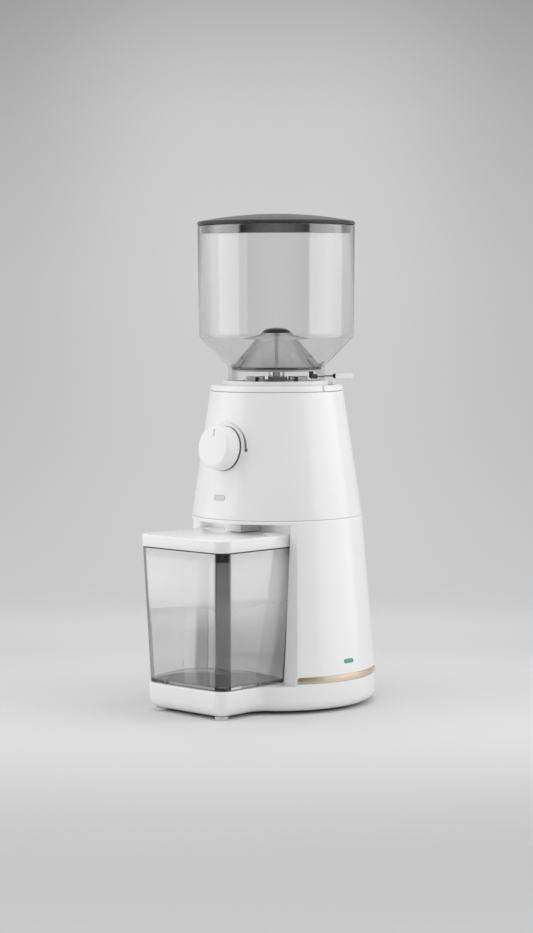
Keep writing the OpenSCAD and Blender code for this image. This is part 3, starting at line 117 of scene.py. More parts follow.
def plastic(name, color, rough=0.3, spread=0.015, grain_size=900.0, bump=0.03, ior=1.5,
            stretch=(1, 1, 1), metallic=0.0, rough_spread=0.12):
    """Moulded plastic, rubber or metal: fine grain in tone, gloss and relief."""
    mat, tree, out = nodes_of(name)
    p = tree.nodes.new("ShaderNodeBsdfPrincipled")
    p.inputs["IOR"].default_value = ior
    p.inputs["Metallic"].default_value = metallic
    wide = grain(tree, 18.0, (1, 1, 1), 2.0)
    fine = grain(tree, grain_size, stretch)
    tree.links.new(tint(tree, wide, color, spread), p.inputs["Base Color"])
    tree.links.new(span(tree, fine, rough * (1 - rough_spread), rough * (1 + rough_spread)),
                   p.inputs["Roughness"])
    b = tree.nodes.new("ShaderNodeBump")
    b.inputs["Strength"].default_value = bump
    b.inputs["Distance"].default_value = 0.0002
    tree.links.new(fine, b.inputs["Height"])
    tree.links.new(b.outputs["Normal"], p.inputs["Normal"])
    tree.links.new(p.outputs["BSDF"], out.inputs["Surface"])
    return mat


def by_height(tree, low, high, below, above):
    """Value that goes from one level to another between two heights of the row frame."""
    coord = tree.nodes.new("ShaderNodeTexCoord")
    part = tree.nodes.new("ShaderNodeSeparateXYZ")
    tree.links.new(coord.outputs["Object"], part.inputs["Vector"])
    m = tree.nodes.new("ShaderNodeMapRange")
    m.interpolation_type = "SMOOTHSTEP"
    m.inputs["From Min"].default_value = low * MM
    m.inputs["From Max"].default_value = high * MM
    m.inputs["To Min"].default_value = below
    m.inputs["To Max"].default_value = above
    tree.links.new(part.outputs["Z"], m.inputs["Value"])
    return m.outputs["Result"]


def fading_print(name, low, high, below, above):
    """Printed grey that goes from one tone to another between two heights."""
    mat, tree, out = nodes_of(name)
    p = tree.nodes.new("ShaderNodeBsdfPrincipled")
    tree.links.new(by_height(tree, low, high, below, above), p.inputs["Base Color"])
    tree.links.new(span(tree, grain(tree, 400.0), 0.45, 0.55), p.inputs["Roughness"])
    tree.links.new(p.outputs["BSDF"], out.inputs["Surface"])
    return mat


def clear(name, color, rough, ior, spread, density=0.0, painted_reflection=None, painted_shade=None):
    """Clear moulded plastic that lets the lamps' light through; density is per metre. The last two are
    by_height's four values: how clear it is, with the less clear part lit white by the lamps as a painted
    reflection, and a grey multiplied over its colour as painted shade."""
    mat, tree, out = nodes_of(name)
    p = tree.nodes.new("ShaderNodeBsdfPrincipled")
    p.inputs["IOR"].default_value = ior
    p.inputs["Transmission Weight"].default_value = 1.0
    wide = grain(tree, 12.0, (1, 1, 0.15), 2.0)
    tone = tint(tree, wide, color, spread)
    # painted shade: a grey multiplied over the colour below a height
    if painted_shade:
        grey = tree.nodes.new("ShaderNodeMix")
        grey.data_type = "RGBA"
        grey.blend_type = "MULTIPLY"
        grey.inputs["Factor"].default_value = 1.0
        tree.links.new(tone, grey.inputs["A"])
        tree.links.new(by_height(tree, *painted_shade), grey.inputs["B"])
        tone = grey.outputs["Result"]
    tree.links.new(tone, p.inputs["Base Color"])
    # painted reflection: less clear above a height, so the lamps light it white
    if painted_reflection:
        tree.links.new(by_height(tree, *painted_reflection), p.inputs["Transmission Weight"])
    tree.links.new(span(tree, wide, rough * 0.7, rough * 1.3), p.inputs["Roughness"])
    path = tree.nodes.new("ShaderNodeLightPath")
    passing = tree.nodes.new("ShaderNodeBsdfTransparent")
    mix = tree.nodes.new("ShaderNodeMixShader")
    tree.links.new(path.outputs["Is Shadow Ray"], mix.inputs["Fac"])
    tree.links.new(p.outputs["BSDF"], mix.inputs[1])
    tree.links.new(passing.outputs["BSDF"], mix.inputs[2])
    tree.links.new(mix.outputs["Shader"], out.inputs["Surface"])
    if density:
        body = tree.nodes.new("ShaderNodeVolumeAbsorption")
        body.inputs["Color"].default_value = (0, 0, 0, 1)
        body.inputs["Density"].default_value = density
        tree.links.new(body.outputs["Volume"], out.inputs["Volume"])
    return mat


WHITE = (0.85, 0.85, 0.85)
M = {
    "white_shell": plastic("white_shell", WHITE, 0.17, 0.004, 700, 0.02, 1.58),
    "dial_white": plastic("dial_white", WHITE, 0.22, 0.004, 700, 0.02, 1.5),
    "chute_white": plastic("chute_white", (0.74, 0.74, 0.74), 0.25, 0.006),
    "tab_white": plastic("tab_white", (0.97, 0.97, 0.97), 0.2, 0.004),
    "button_grey": plastic("button_grey", (0.66, 0.66, 0.66), 0.3, 0.01),
    # carrier white is lighter than the other whites: painted light making up for the shade inside the neck
    "carrier_white": plastic("carrier_white", (0.95, 0.95, 0.94), 0.35, 0.01),
    "gate_smoke": plastic("gate_smoke", (0.42, 0.42, 0.42), 0.3, 0.01),
    "champagne_metal": plastic("champagne_metal", (0.72, 0.61, 0.495), 0.36, 0.03, 260, 0.12,
                               1.5, (0.15, 0.15, 22), 1.0, 0.3),
    "teal_lens": plastic("teal_lens", (0.10, 0.34, 0.28), 0.2, 0.05, 400, 0.02),
    # the hopper is greyed below its funnel's top as painted shade
    "clear_smoke": clear("clear_smoke", (0.995, 0.995, 0.995), 0.03, 1.6, 0.005, 7.0,
                         painted_shade=(309, 313, 0.955, 1.0)),
    "neck_clear": clear("neck_clear", (0.985, 0.985, 0.985), 0.02, 1.16, 0.005),
    # the container's walls are less clear high up, lit white as a painted reflection of the softboxes, and
    # greyed lower down as painted shade
    "container_smoke": clear("container_smoke", (0.98, 0.98, 0.98), 0.02, 1.95, 0.005,
                             painted_reflection=(66, 100, 1.0, 0.66), painted_shade=(82, 100, 0.935, 1.0)),
    # darker clear plastic for the container's upright corners: painted shade where no reflection falls
    "corner_smoke_painted_dark": clear("corner_smoke_painted_dark", (0.39, 0.385, 0.38), 0.02, 1.5, 0.01),
    # grey rubber for the seal's faces, lighter than its black corners: painted reflection of the softboxes
    "seal_sheen_painted": plastic("seal_sheen_painted", (0.10, 0.10, 0.10), 0.12, 0.02, 900, 0.01, 2.7),
    "guard_smoke": clear("guard_smoke", (0.99, 0.99, 0.99), 0.03, 1.5, 0.005, 34.0),
    "rib_smoke": clear("rib_smoke", (0.98, 0.98, 0.98), 0.1, 1.5, 0.01, 170.0),
    "foot_smoke": clear("foot_smoke", (0.98, 0.98, 0.98), 0.1, 1.2, 0.01, 120.0),
    "post_smoke": clear("post_smoke", (0.98, 0.98, 0.98), 0.1, 1.3, 0.01, 140.0),
    "web_smoke": clear("web_smoke", (0.98, 0.98, 0.98), 0.1, 1.2, 0.01, 34.0),
    "lid_smoke": plastic("lid_smoke", (0.045, 0.045, 0.045), 0.28, 0.03, 900, 0.03, 1.3),
    "black_seal": plastic("black_seal", (0.01, 0.01, 0.01), 0.12, 0.1, 900, 0.01, 2.7),
    "black_metal": plastic("black_metal", (0.015, 0.015, 0.015), 0.3, 0.1),
    "burr_steel": plastic("burr_steel", (0.30, 0.30, 0.31), 0.35, 0.06, 500, 0.1, 1.5,
                          (1, 1, 6), 1.0, 0.3),
    "bright_steel": plastic("bright_steel", (0.60, 0.60, 0.61), 0.22, 0.03, 500, 0.05, 1.5,
                            (1, 1, 8), 1.0, 0.3),
    "screw_steel": plastic("screw_steel", (0.55, 0.55, 0.56), 0.3, 0.03, 900, 0.05, 1.5,
                           (1, 1, 1), 1.0, 0.3),
    "foot_rubber": plastic("foot_rubber", (0.66, 0.66, 0.66), 0.6, 0.05, 1500, 0.15),
    "dark_plastic": plastic("dark_plastic", (0.05, 0.05, 0.05), 0.5, 0.06, 1200, 0.1),
    "bezel_grey": plastic("bezel_grey", (0.10, 0.10, 0.10), 0.45, 0.05, 1200, 0.08),
    "scale_print": fading_print("scale_print", 224, 240, 0.15, 0.62),
    "gap_shade_painted": plastic("gap_shade_painted", (0.34, 0.34, 0.34), 0.5, 0.02),
    "pointer_print": plastic("pointer_print", (0.42, 0.42, 0.42), 0.5, 0.02),
    "frame_plastic": plastic("frame_plastic", (0.62, 0.62, 0.62), 0.45, 0.02, 1200, 0.08),
    "gear_nylon": plastic("gear_nylon", (0.76, 0.75, 0.70), 0.4, 0.02, 900, 0.05),
    "ferrite": plastic("ferrite", (0.06, 0.06, 0.065), 0.7, 0.08, 1500, 0.2),
    "rotor_winding": plastic("rotor_winding", (0.38, 0.14, 0.05), 0.3, 0.15, 300, 0.5, 1.5,
                             (1, 1, 30)),
    "board_green": plastic("board_green", (0.03, 0.16, 0.07), 0.35, 0.08, 600, 0.05),
}
OWN_LOOK = {"gate_tab": "tab_white"}    # nodes that look different from their slot
for part in frame["record"]["subparts"]:
    body_mesh = frame["nodes"][part["node"]].data
    body_mesh.materials.clear()
    body_mesh.materials.append(M[OWN_LOOK.get(part["node"], part["material_slot"])])
    for face in body_mesh.polygons:
        face.use_smooth = True
    body_mesh.set_sharp_from_angle(angle=math.radians(32))


# ------------------------------------------------------------ mesh building
WELD, SHARP = 1e-6, math.radians(30)    # metres within which vertices join, crease angle


def piece(name, verts, faces, slot, body, replaced=(), mat=None):
    """A named visible piece from vertices and faces, riding on its CAD body."""
    mesh = bpy.data.meshes.new(name)
    mesh.from_pydata([tuple(v) for v in verts], [], faces)
    bm = bmesh.new()
    bm.from_mesh(mesh)
    bmesh.ops.remove_doubles(bm, verts=bm.verts, dist=WELD)
    bmesh.ops.dissolve_degenerate(bm, dist=WELD, edges=bm.edges)
    bmesh.ops.recalc_face_normals(bm, faces=bm.faces)
    for f in bm.faces:
        f.smooth = True
    bm.to_mesh(mesh)
    bm.free()
    mesh.set_sharp_from_angle(angle=SHARP)
    mesh.materials.append(mat or M[slot])
    obj = bpy.data.objects.new(name, mesh)
    bpy.context.scene.collection.objects.link(obj)
    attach(obj, body)
    if replaced:
        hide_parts(*replaced)
    return obj


class Shape:
    """Vertices and faces gathered from several closed forms."""

    def __init__(self):
        self.verts, self.faces = [], []

    def add(self, verts, faces):
        n = len(self.verts)
        self.verts += list(verts)
        self.faces += [tuple(i + n for i in f) for f in faces]

    def loft(self, rings, wrap=False):
        """Skin over rings of points, closed by two caps; wrap joins the last ring to the
        first instead."""
        m, k = len(rings), len(rings[0])
        faces = []
        for i in range(m if wrap else m - 1):
            a, b = i * k, (i + 1) % m * k
            for j in range(k):
                j2 = (j + 1) % k
                faces.append((a + j, a + j2, b + j2, b + j))
        if not wrap:
            faces.append(tuple(reversed(range(k))))
            faces.append(tuple((m - 1) * k + j for j in range(k)))
        self.add([p for r in rings for p in r], faces)

    def lathe(self, profile, turn, seg=160, closed=True):
        """Profile of (radius, height) turned about an axis; turn maps (r, angle, h)."""
        rings = [[turn(r, 2 * math.pi * i / seg, h) for r, h in profile] for i in range(seg)]
        k = len(profile)
        faces = []
        for i in range(seg):
            a, b = i * k, (i + 1) % seg * k
            for j in range(k if closed else k - 1):
                j2 = (j + 1) % k
                faces.append((a + j, b + j, b + j2, a + j2))
        self.add([p for r in rings for p in r], faces)

    def make(self, name, slot, body, replaced=(), mat=None):
        return piece(name, self.verts, self.faces, slot, body, replaced, mat)


def fillet(points, closed=True, steps=5):
    """Outline through (x, y, radius) points with its corners rounded."""
    out, n = [], len(points)
    for i, (x, y, r) in enumerate(points):
        if r <= 0 or (not closed and i in (0, n - 1)):
            out.append((x, y))
            continue
        p = Vector((x, y))
        u = Vector(points[i - 1][:2]) - p
        v = Vector(points[(i + 1) % n][:2]) - p
        half = u.angle(v) / 2
        t = min(r / math.tan(half), 0.49 * u.length, 0.49 * v.length)
        r = t * math.tan(half)
        c = p + (u.normalized() + v.normalized()).normalized() * (r / math.sin(half))
        s, e = p + u.normalized() * t - c, p + v.normalized() * t - c
        a0 = math.atan2(s.y, s.x)
        d = (math.atan2(e.y, e.x) - a0 + math.pi) % (2 * math.pi) - math.pi
        out += [(c.x + r * math.cos(a0 + d * j / steps), c.y + r * math.sin(a0 + d * j / steps))
                for j in range(steps + 1)]
    return out


def arc(cx, cy, r, a0, a1, n):
    """Points about a centre, from angle a0 to a1 in degrees."""
    return [(cx + r * math.cos(math.radians(a0 + (a1 - a0) * j / n)),
             cy + r * math.sin(math.radians(a0 + (a1 - a0) * j / n))) for j in range(n + 1)]


def burr_axis(r, a, h):
    """Point about the burr axis: radius, angle from the front, height."""
    return at(r * math.sin(a), -r * math.cos(a), h)


def turned(name, profile, slot, body, replaced=(), seg=160, closed=True, mat=None):
    """A piece turned about the burr axis."""
    s = Shape()
    s.lathe(profile, burr_axis, seg, closed)
    return s.make(name, slot, body, replaced, mat)


# ------------------------------------------------------- sizes in millimetres
BASE_R, PLAT_HW, PLAT_REACH, PLAT_CR, PLAT_RF, EDGE_R = 83.4, 45.7, 114.0, 11.0, 14.0, 8.5
FOOT_H, DECK_Z, BASE_TOP, BAND_TOP = 2.5, 23.6, 25.4, 30.9
LIP_Z, SEAM_Z, RIM_Z, RIM_TOP = 156.8, 159.8, 265.1, 270.3
SEAM_R, RIM_R = 72.4, 56.6
LOW_TILT = math.atan((BASE_R - SEAM_R) / (SEAM_Z - BASE_TOP))
UP_TILT = math.atan((SEAM_R - RIM_R) / (RIM_Z - SEAM_Z))
BAY_HW, BAY_BACK, BAY_LEAN = 52.0, 29.5, 6.8       # half width, back wall and its lean
WING_FRONT, WING_LEAN = 39.9, 8.0                  # front edges beside the bay
WING_R, WING_IN_R, BAY_R = 1.6, 2.2, 5.0           # their corners and the bay's
LEVER = math.radians(134)                          # azimuth of the gate's lever


def low_r(z):
    return BASE_R - (z - BASE_TOP) * math.tan(LOW_TILT)


def up_r(z):
    return SEAM_R - (z - SEAM_Z) * math.tan(UP_TILT)


def bay_y(z):
    return -(BAY_BACK + BAY_LEAN * (LIP_Z - z) / (LIP_Z - BASE_TOP))


def wing_y(z):
    return -(WING_FRONT + WING_LEAN * (LIP_Z - z) / (LIP_Z - BASE_TOP))


# ---------------------------------------------------------------------- base
def mirrored(half):
    """A closed plan from its right half, back to front."""
    return half + [(-x, y) for x, y in reversed(half)]


def base_plan(i):
    """(x, y, platform share) round the base's plan, drawn in by i."""
    fx = PLAT_HW + PLAT_RF
    fy = -math.sqrt((BASE_R + PLAT_RF) ** 2 - fx ** 2)
    t = math.degrees(math.atan2(fx, -fy))
    half = [((BASE_R - i) * math.sin(math.radians(a)), -(BASE_R - i) * math.cos(math.radians(a)), 0.0)
            for a in [179.4 + (t - 179.4) * k / 70 for k in range(71)]]
    half += [(x, y, min(1.0, k / 8)) for k, (x, y) in
             enumerate(arc(fx, fy, PLAT_RF + i, 90 + t, 180, 16)) if k]
    half += [(x, y, 1.0) for x, y in
             arc(PLAT_HW - PLAT_CR, -PLAT_REACH + PLAT_CR, PLAT_CR - i, 0, -90, 14)]
    return half + [(-x, y, w) for x, y, w in reversed(half)]


def housing_plan(out_r, wy, by):
    """Section of the lower housing: outer arc, wing fronts at wy and the bay back to by."""
    xo = math.sqrt(out_r ** 2 - wy ** 2)
    a_end = math.degrees(math.atan2(xo, -wy))
    ring = [(out_r * math.sin(math.radians(a)), -out_r * math.cos(math.radians(a)))
            for a in [179.5 + (a_end + 1.6 - 179.5) * k / 90 for k in range(91)]]
    corner = fillet([(*ring[-2], 0), (xo, wy, WING_R), (BAY_HW, wy, WING_IN_R), (BAY_HW, by, BAY_R),
                     (0, by, 0)], closed=False)[1:-1]
    return mirrored(ring[:-1] + corner)


def rise(plan, z):
    """A plan's points at one height."""
    return [at(p[0], p[1], z) for p in plan]


def make_base():
    s = Shape()
    rings = []
    for k in range(9):
        t = math.radians(90 * k / 8)
        rings.append(rise(base_plan(EDGE_R * (1 - math.sin(t))), FOOT_H + EDGE_R * (1 - math.cos(t))))
    edge = 1.1
    for k in range(5):
        t = math.radians(90 * k / 4)
        plan, inner = base_plan(0), base_plan(edge)
        c = 1 - math.cos(t)
        ring = []
        for (x, y, w), (xi, yi, _) in zip(plan, inner):
            ring.append(at(x + (xi - x) * w * c, y + (yi - y) * w * c,
                           DECK_Z - edge + edge * math.sin(t)))
        rings.append(ring)
    s.loft(rings)
    # raised floor of the housing behind the platform
    s.loft([rise(housing_plan(BASE_R - i, wing_y(BASE_TOP) - 0.4, bay_y(BASE_TOP)), z)
            for z, i in ((DECK_Z - 0.5, 0), (BASE_TOP - 0.25, 0), (BASE_TOP, 0.25))])
    return s.make("base_shell", "white_shell", "housing", ["base"])


def make_lower_housing():
    s = Shape()
    # foot behind the trim band, then the visible wall
    heights = [(BASE_TOP, 1.3), (BAND_TOP + 0.02, 1.3), (BAND_TOP + 0.02, 0.25), (BAND_TOP + 0.3, 0.0)]
    heights += [(BAND_TOP + 0.3 + (LIP_Z - BAND_TOP - 0.3) * k / 24, 0.0) for k in range(1, 25)]
    s.loft([rise(housing_plan(low_r(z) - i, wing_y(z), bay_y(z)), z) for z, i in heights])
    top = [(LIP_Z - 0.01, 0.0), (SEAM_Z - 0.5, 0.0), (SEAM_Z - 0.25, 0.09), (SEAM_Z - 0.12, 0.35),
           (SEAM_Z - 0.12, 1.6)]
    s.loft([[burr_axis(low_r(z) - i, 2 * math.pi * k / 240, z) for k in range(240)]
            for z, i in top])
    return s.make("lower_shell", "white_shell", "housing", ["lower_housing"])


def make_trim_band():
    """Metal strip round the foot of the housing, its ends rounded at the top."""
    s = Shape()
    z0, z1 = BASE_TOP + 0.12, BAND_TOP - 0.08
    wy = wing_y(BASE_TOP)
    ends = math.degrees(math.atan2(math.sqrt(BASE_R ** 2 - wy ** 2), -wy)) + 0.35
    n = 150
    rings = []
    for k in range(n + 1):
        az = ends + (360 - 2 * ends) * k / n
        from_end = min(az - ends, 360 - ends - az) * math.radians(1) * BASE_R
        r = 1.6
        drop = r - math.sqrt(max(0.0, r * r - max(0.0, r - from_end) ** 2)) if from_end < r else 0.0
        top = z1 - drop
        prof = fillet([(low_r(z0) - 1.15, z0, 0), (low_r(z0) + 0.04, z0, 0.25),
                       (low_r(top) + 0.04, top, 0.25), (low_r(top) - 1.15, top, 0)])
        rings.append([burr_axis(r_, math.radians(az), h) for r_, h in prof])
    s.loft(rings)
    return s.make("trim_strip", "champagne_metal", "housing", ["trim_band"])


def make_upper_housing():
    # shell from the seam groove to the shoulder under the rim
    prof = fillet([(up_r(SEAM_Z) - 2.5, SEAM_Z + 0.06, 0), (up_r(SEAM_Z) - 0.02, SEAM_Z + 0.06, 0.4),
                   (up_r(RIM_Z - 0.1), RIM_Z - 0.1, 0.4), (up_r(RIM_Z) - 9.0, RIM_Z - 0.1, 0),
                   (up_r(RIM_Z) - 9.0, RIM_Z - 3.0, 0), (up_r(RIM_Z - 3) - 3.0, RIM_Z - 3.0, 0)])
    s = Shape()
    s.lathe(prof, burr_axis, 240)
    return s.make("upper_shell", "white_shell", "housing", ["upper_housing"])


def make_rim():
    """Rim with a sighting notch in its outer edge on the right."""
    s = Shape()
    notch, half_w, deep = 85.0, 3.4, 1.5     # its azimuth in degrees, half width and depth
    seg = 720
    rings = []
    for i in range(seg):
        az = 360 * i / seg
        r_out, r_top = RIM_R - 0.1, RIM_R - 1.2
        off = math.radians(abs((az - notch + 180) % 360 - 180)) * RIM_R
        cut = deep if off < half_w else (deep * max(0.0, 1 - (off - half_w) / 0.5))
        prof = fillet([(45.9, RIM_Z + 0.25, 0), (r_out - 0.05, RIM_Z + 0.25, 0.4),
                       (r_out - cut, RIM_Z + 0.9, 0.05),
                       (r_top - cut, RIM_TOP, 0.9), (45.9, RIM_TOP, 0.5)], steps=4)
        rings.append([burr_axis(r, math.radians(az), h) for r, h in prof])
    s.loft(rings, wrap=True)
    return s.make("rim_ring", "white_shell", "housing", ["top_rim"])


make_base()
make_lower_housing()
make_trim_band()
make_upper_housing()
make_rim()


# ------------------------------------------------------ pieces on the walls
def wall_point(u, v, w, z0, r_of, tilt):
    """Point on a sloping wall: u to the side, v up the wall, w out of it."""
    z = z0 + v * math.cos(tilt) + w * math.sin(tilt)
    zs = z0 + v * math.cos(tilt)
    a = u / r_of(zs)
    r = r_of(zs) + w * math.cos(tilt)
    return r, a, z


def pill_outline(w, h, n=10, m=10):
    c = (w - h) / 2
    along = [c * (1 - 2 * k / m) for k in range(1, m)]
    return (arc(c, 0, h / 2, -90, 90, n) + [(x, h / 2) for x in along]
            + arc(-c, 0, h / 2, 90, 270, n) + [(-x, -h / 2) for x in along])


def wall_pill(s, w, h, low, high, place, edge=0.3, dome=0.0):
    """Pill-shaped pad that follows the wall, its rim rounded."""
    rings = []
    for i, t in ((0, low), (0, high - edge), (edge * 0.3, high - edge * 0.3), (edge, high)):
        rings.append([place(x, y, t) for x, y in pill_outline(w - 2 * i, h - 2 * i)])
    for f in (0.8, 0.5, 0.2):
        d = high + dome * (1 - f * f)
        rings.append([place(x * f, y * f, d) for x, y in pill_outline(w - 2 * edge, h - 2 * edge)])
    s.loft(rings)


def front_wall(z0):
    def place(u, v, w):
        r, a, z = wall_point(u, v, w, z0, up_r, UP_TILT)
        return burr_axis(r, a, z)
    return place


def right_wall(z0):
    def place(u, v, w):
        r, a, z = wall_point(u, v, w, z0, low_r, LOW_TILT)
        return burr_axis(r, math.pi / 2 + a, z)
    return place


BUTTON_Z, DIAL_Z, LENS_Z = SEAM_Z + 17.9, SEAM_Z + 58.6, BASE_TOP + 16.2
s = Shape()
wall_pill(s, 12.4, 4.0, -3.0, 0.28, front_wall(BUTTON_Z), 0.35, 0.05)
s.make("start_key", "button_grey", "start_button", ["start_button"])
# dark pill ring round the start key: painted shade standing for the groove round it
s = Shape()
wall_pill(s, 12.9, 4.45, -2.0, 0.05, front_wall(BUTTON_Z), 0.05)
s.make("start_gap", "bezel_grey", "housing", mat=M["gap_shade_painted"])
s = Shape()
wall_pill(s, 12.0, 3.9, -2.5, 0.12, right_wall(LENS_Z), 0.3, 0.12)
s.make("lamp_lens", "teal_lens", "housing", ["power_lens"])


def dial_axis(r, a, h):
    """Point about the dial's axis: radius, angle from the top, distance out."""
    u, v = r * math.sin(a), r * math.cos(a)
    c, t = math.cos(UP_TILT), math.sin(UP_TILT)
    return at(u, -up_r(DIAL_Z) - h * c + v * t, DIAL_Z + v * c + h * t)


def make_dial():
    """Knob with its pointer line, the dark seat behind it and a white collar round that."""
    s = Shape()
    face = 13.8
    prof = fillet([(0, 0.4, 0), (18.3, 0.4, 0), (18.65, 0.9, 0.2), (18.15, 12.3, 0.25),
                   (17.5, 12.9, 0.25), (15.6, face, 0.2), (0, face, 0)], closed=False)
    s.lathe(prof, dial_axis, 160, closed=False)
    s.make("dial_knob", "dial_white", "dial", ["dial"])
    s = Shape()
    line = arc(0, 9.2, 0.55, 180, 360, 6) + arc(0, 14.6, 0.55, 0, 180, 6)
    s.loft([[dial_flat(x, y, h) for x, y in line] for h in (face - 0.3, face + 0.06)])
    s.make("dial_pointer", "scale_print", "dial", mat=M["pointer_print"])
    seat_r, sunk = 18.95, -4.0
    s = Shape()
    s.lathe([(3.3, sunk), (seat_r, sunk), (seat_r, 0.05), (3.3, 0.05)], dial_axis, 128)
    s.make("dial_seat", "bezel_grey", "housing", ["dial_bezel"])
    s = Shape()
    s.lathe([(seat_r, sunk), (19.6, sunk), (19.6, -0.9), (19.4, -0.7), (seat_r, -0.7)], dial_axis, 128)
    s.make("dial_collar", "white_shell", "housing")


def dial_flat(x, y, h):
    """Point on the dial: x across, y up, h out."""
    return dial_axis(math.hypot(x, y), math.atan2(x, y), h)


def make_scale():
    """Crescent that widens clockwise to its dot, with a tick at the top."""
    place = front_wall(DIAL_Z)
    s = Shape()

    def strip(a0, a1, n):
        rings = []
        for k in range(n + 1):
            a = math.radians(a0 + (a1 - a0) * k / n)
            g = max(0.0, min(1.0, (math.degrees(a) + 35) / 120))
            half = 0.2 + 0.7 * g ** 1.3
            r = 22.45 - half
            section = [(r + half, 0.05), (r + half, -0.4), (r - half, -0.4), (r - half, 0.05)]
            rings.append([place(q * math.sin(a), q * math.cos(a), w) for q, w in section])
        s.loft(rings)

    strip(-38, -6, 16)
    strip(6, 88, 40)
    s.loft([[place(x, y, w) for x, y in ((-0.5, 21.2), (0.5, 21.2), (0.5, 24.2), (-0.5, 24.2))]
            for w in (-0.4, 0.05)])
    s.loft([[place(22.2 + x, -0.6 + y, w) for x, y in arc(0, 0, 1.5, 0, 345, 23)] for w in (-0.4, 0.06)])
    s.make("scale_marks", "scale_print", "housing", ["dial_scale"])


make_dial()
make_scale()


# ------------------------------------------------------------------- hopper
NECK_Z, NECK_TOP, FUNNEL_TOP, HOP_TOP = 266.2, 285.2, 310.7, 404.4
COVER_Z = HOP_TOP + 0.2
turned("hopper_bowl", fillet([
    (38.6, NECK_TOP, 0), (41, NECK_TOP, 0), (65.8, FUNNEL_TOP, 6.0), (66.6, HOP_TOP, 0.8),
    (64.2, HOP_TOP, 0.8), (63.4, FUNNEL_TOP + 1, 3.6), (38.6, NECK_TOP + 1, 0)],
    steps=8), "clear_smoke", "bean_hopper", ["hopper"], 200)
turned("hopper_neck", fillet([
    (38.6, NECK_Z, 0.4), (41, NECK_Z, 0.6), (41, NECK_TOP - 0.02, 0), (38.6, NECK_TOP - 0.02, 0)]),
    "clear_smoke", "bean_hopper", ["hopper"], 200, mat=M["neck_clear"])


def make_cover():
    """Smoky dome that thins to its rim, and the black plug ring under it."""
    half, high = 67.0, 6.6
    cap_r = (half ** 2 + high ** 2) / (2 * high)
    top = COVER_Z + 3 + high

    def dome(r, drop=0.0):
        return top - drop - (cap_r - math.sqrt(cap_r ** 2 - r * r))
    prof = [(0.0, dome(0))] + [(r, dome(r)) for r in range(6, 66, 6)]
    prof += fillet([(62, dome(62), 0), (66.2, dome(66.2), 1.5), (half, COVER_Z + 1.4, 1.2),
                    (66.3, COVER_Z, 0.5), (61.0, COVER_Z, 0.4), (61.0, dome(61, 2), 1.0),
                    (56, dome(56, 2), 0)], closed=False)
    prof += [(r, dome(r, 2)) for r in range(50, 0, -6)] + [(0.0, dome(0, 2))]
    turned("cover_dome", prof, "lid_smoke", "hopper_cover", ["hopper_lid"], 200, closed=False)
    turned("cover_plug", fillet([
        (61.0, COVER_Z - 7.8, 0.6), (63.8, COVER_Z - 7.8, 0.8), (63.8, COVER_Z - 0.02, 0),
        (61.0, COVER_Z - 0.02, 0)]), "black_seal", "hopper_cover", ["lid_plug"], 200)


make_cover()


# ---------------------------------------------------------------- container
CONT_Z, LID_Z, LID_TOP = 23.9, 137.8, 147.8
CONT_HW, CONT_REACH, CONT_BACK = 50, 116.3, 31.8             # at the rim, from the burr axis
DRAFT_SIDE, DRAFT_FRONT, DRAFT_BACK = 4.5, 3.8, 6.6          # over the container's height
CONT_R, CONT_BACK_R, LID_OVER = 11, 3.5, 0.8


def box_plan(hw, yf, yb, rf, rb):
    """Plan with round corners, from the back right round the front."""
    half = arc(hw - rb, yb - rb, rb, 88, 0, 6) + arc(hw - rf, yf + rf, rf, 0, -88, 14)
    return mirrored(half)


def cont_plan(inset, z):
    """The container's plan at a height, drawn in by inset."""
    down = 1 - (z - CONT_Z) / (LID_Z - CONT_Z)
    return box_plan(CONT_HW - DRAFT_SIDE * down - inset, -CONT_REACH + DRAFT_FRONT * down + inset,
                    -CONT_BACK - DRAFT_BACK * down - inset, CONT_R - inset, CONT_BACK_R - inset)


def darken_corners_as_shade(obj, mat, front=0.10, back=0.45):
    """Give the faces at a box's upright corners their own, darker material as painted shade where no
    reflection falls; front and back are how far their normals lean at least."""
    mesh = obj.data
    mesh.materials.append(mat)
    for f in mesh.polygons:
        n = f.normal
        lean = front if f.center.y < (AXIS_Y - 74) * MM else back
        if abs(n.z) < 0.5 and min(abs(n.x), abs(n.y)) > lean:
            f.material_index = 1


def make_container():
    """Clear bin from its lower edge up the outside, over the rim and down the inside."""
    s = Shape()
    rings = []
    edge = 1.2
    for k in range(4):
        t = math.radians(30 * k)
        rings.append((edge * (1 - math.sin(t)), CONT_Z + edge * (1 - math.cos(t))))
    rings += [(0, CONT_Z + edge + (LID_Z - CONT_Z - edge - 1.0) * k / 8) for k in range(1, 9)]
    rings += [(0, LID_Z - 0.3)]
    rings += [(0.3, LID_Z - 0.02), (1.9, LID_Z - 0.02), (2.2, LID_Z - 0.3)]
    rings += [(2.2, LID_Z - 0.3 - (LID_Z - 0.3 - CONT_Z - 4.2) * k / 8) for k in range(1, 9)]
    rings += [(2.4, CONT_Z + 3.5), (3.0, CONT_Z + 3.0)]
    s.loft([rise(cont_plan(i, z), z) for i, z in rings])
    bin_box = s.make("grounds_bin", "container_smoke", "grounds_container", ["container"])
    # the bin's upright corners are darker: painted shade
    darken_corners_as_shade(bin_box, M["corner_smoke_painted_dark"], back=0.2)
    bin_box.data.materials.append(M["dark_plastic"])    # the shadow line under the lid
    for f in bin_box.data.polygons:
        if f.center.z > (LID_Z - 1.0) * MM:
            f.material_index = 2


def lid_plan(inset):
    return box_plan(CONT_HW + LID_OVER - inset, -CONT_REACH - LID_OVER + inset,
                    0.1 - CONT_BACK - inset, max(CONT_R + LID_OVER - inset, 0.8), 0.4)


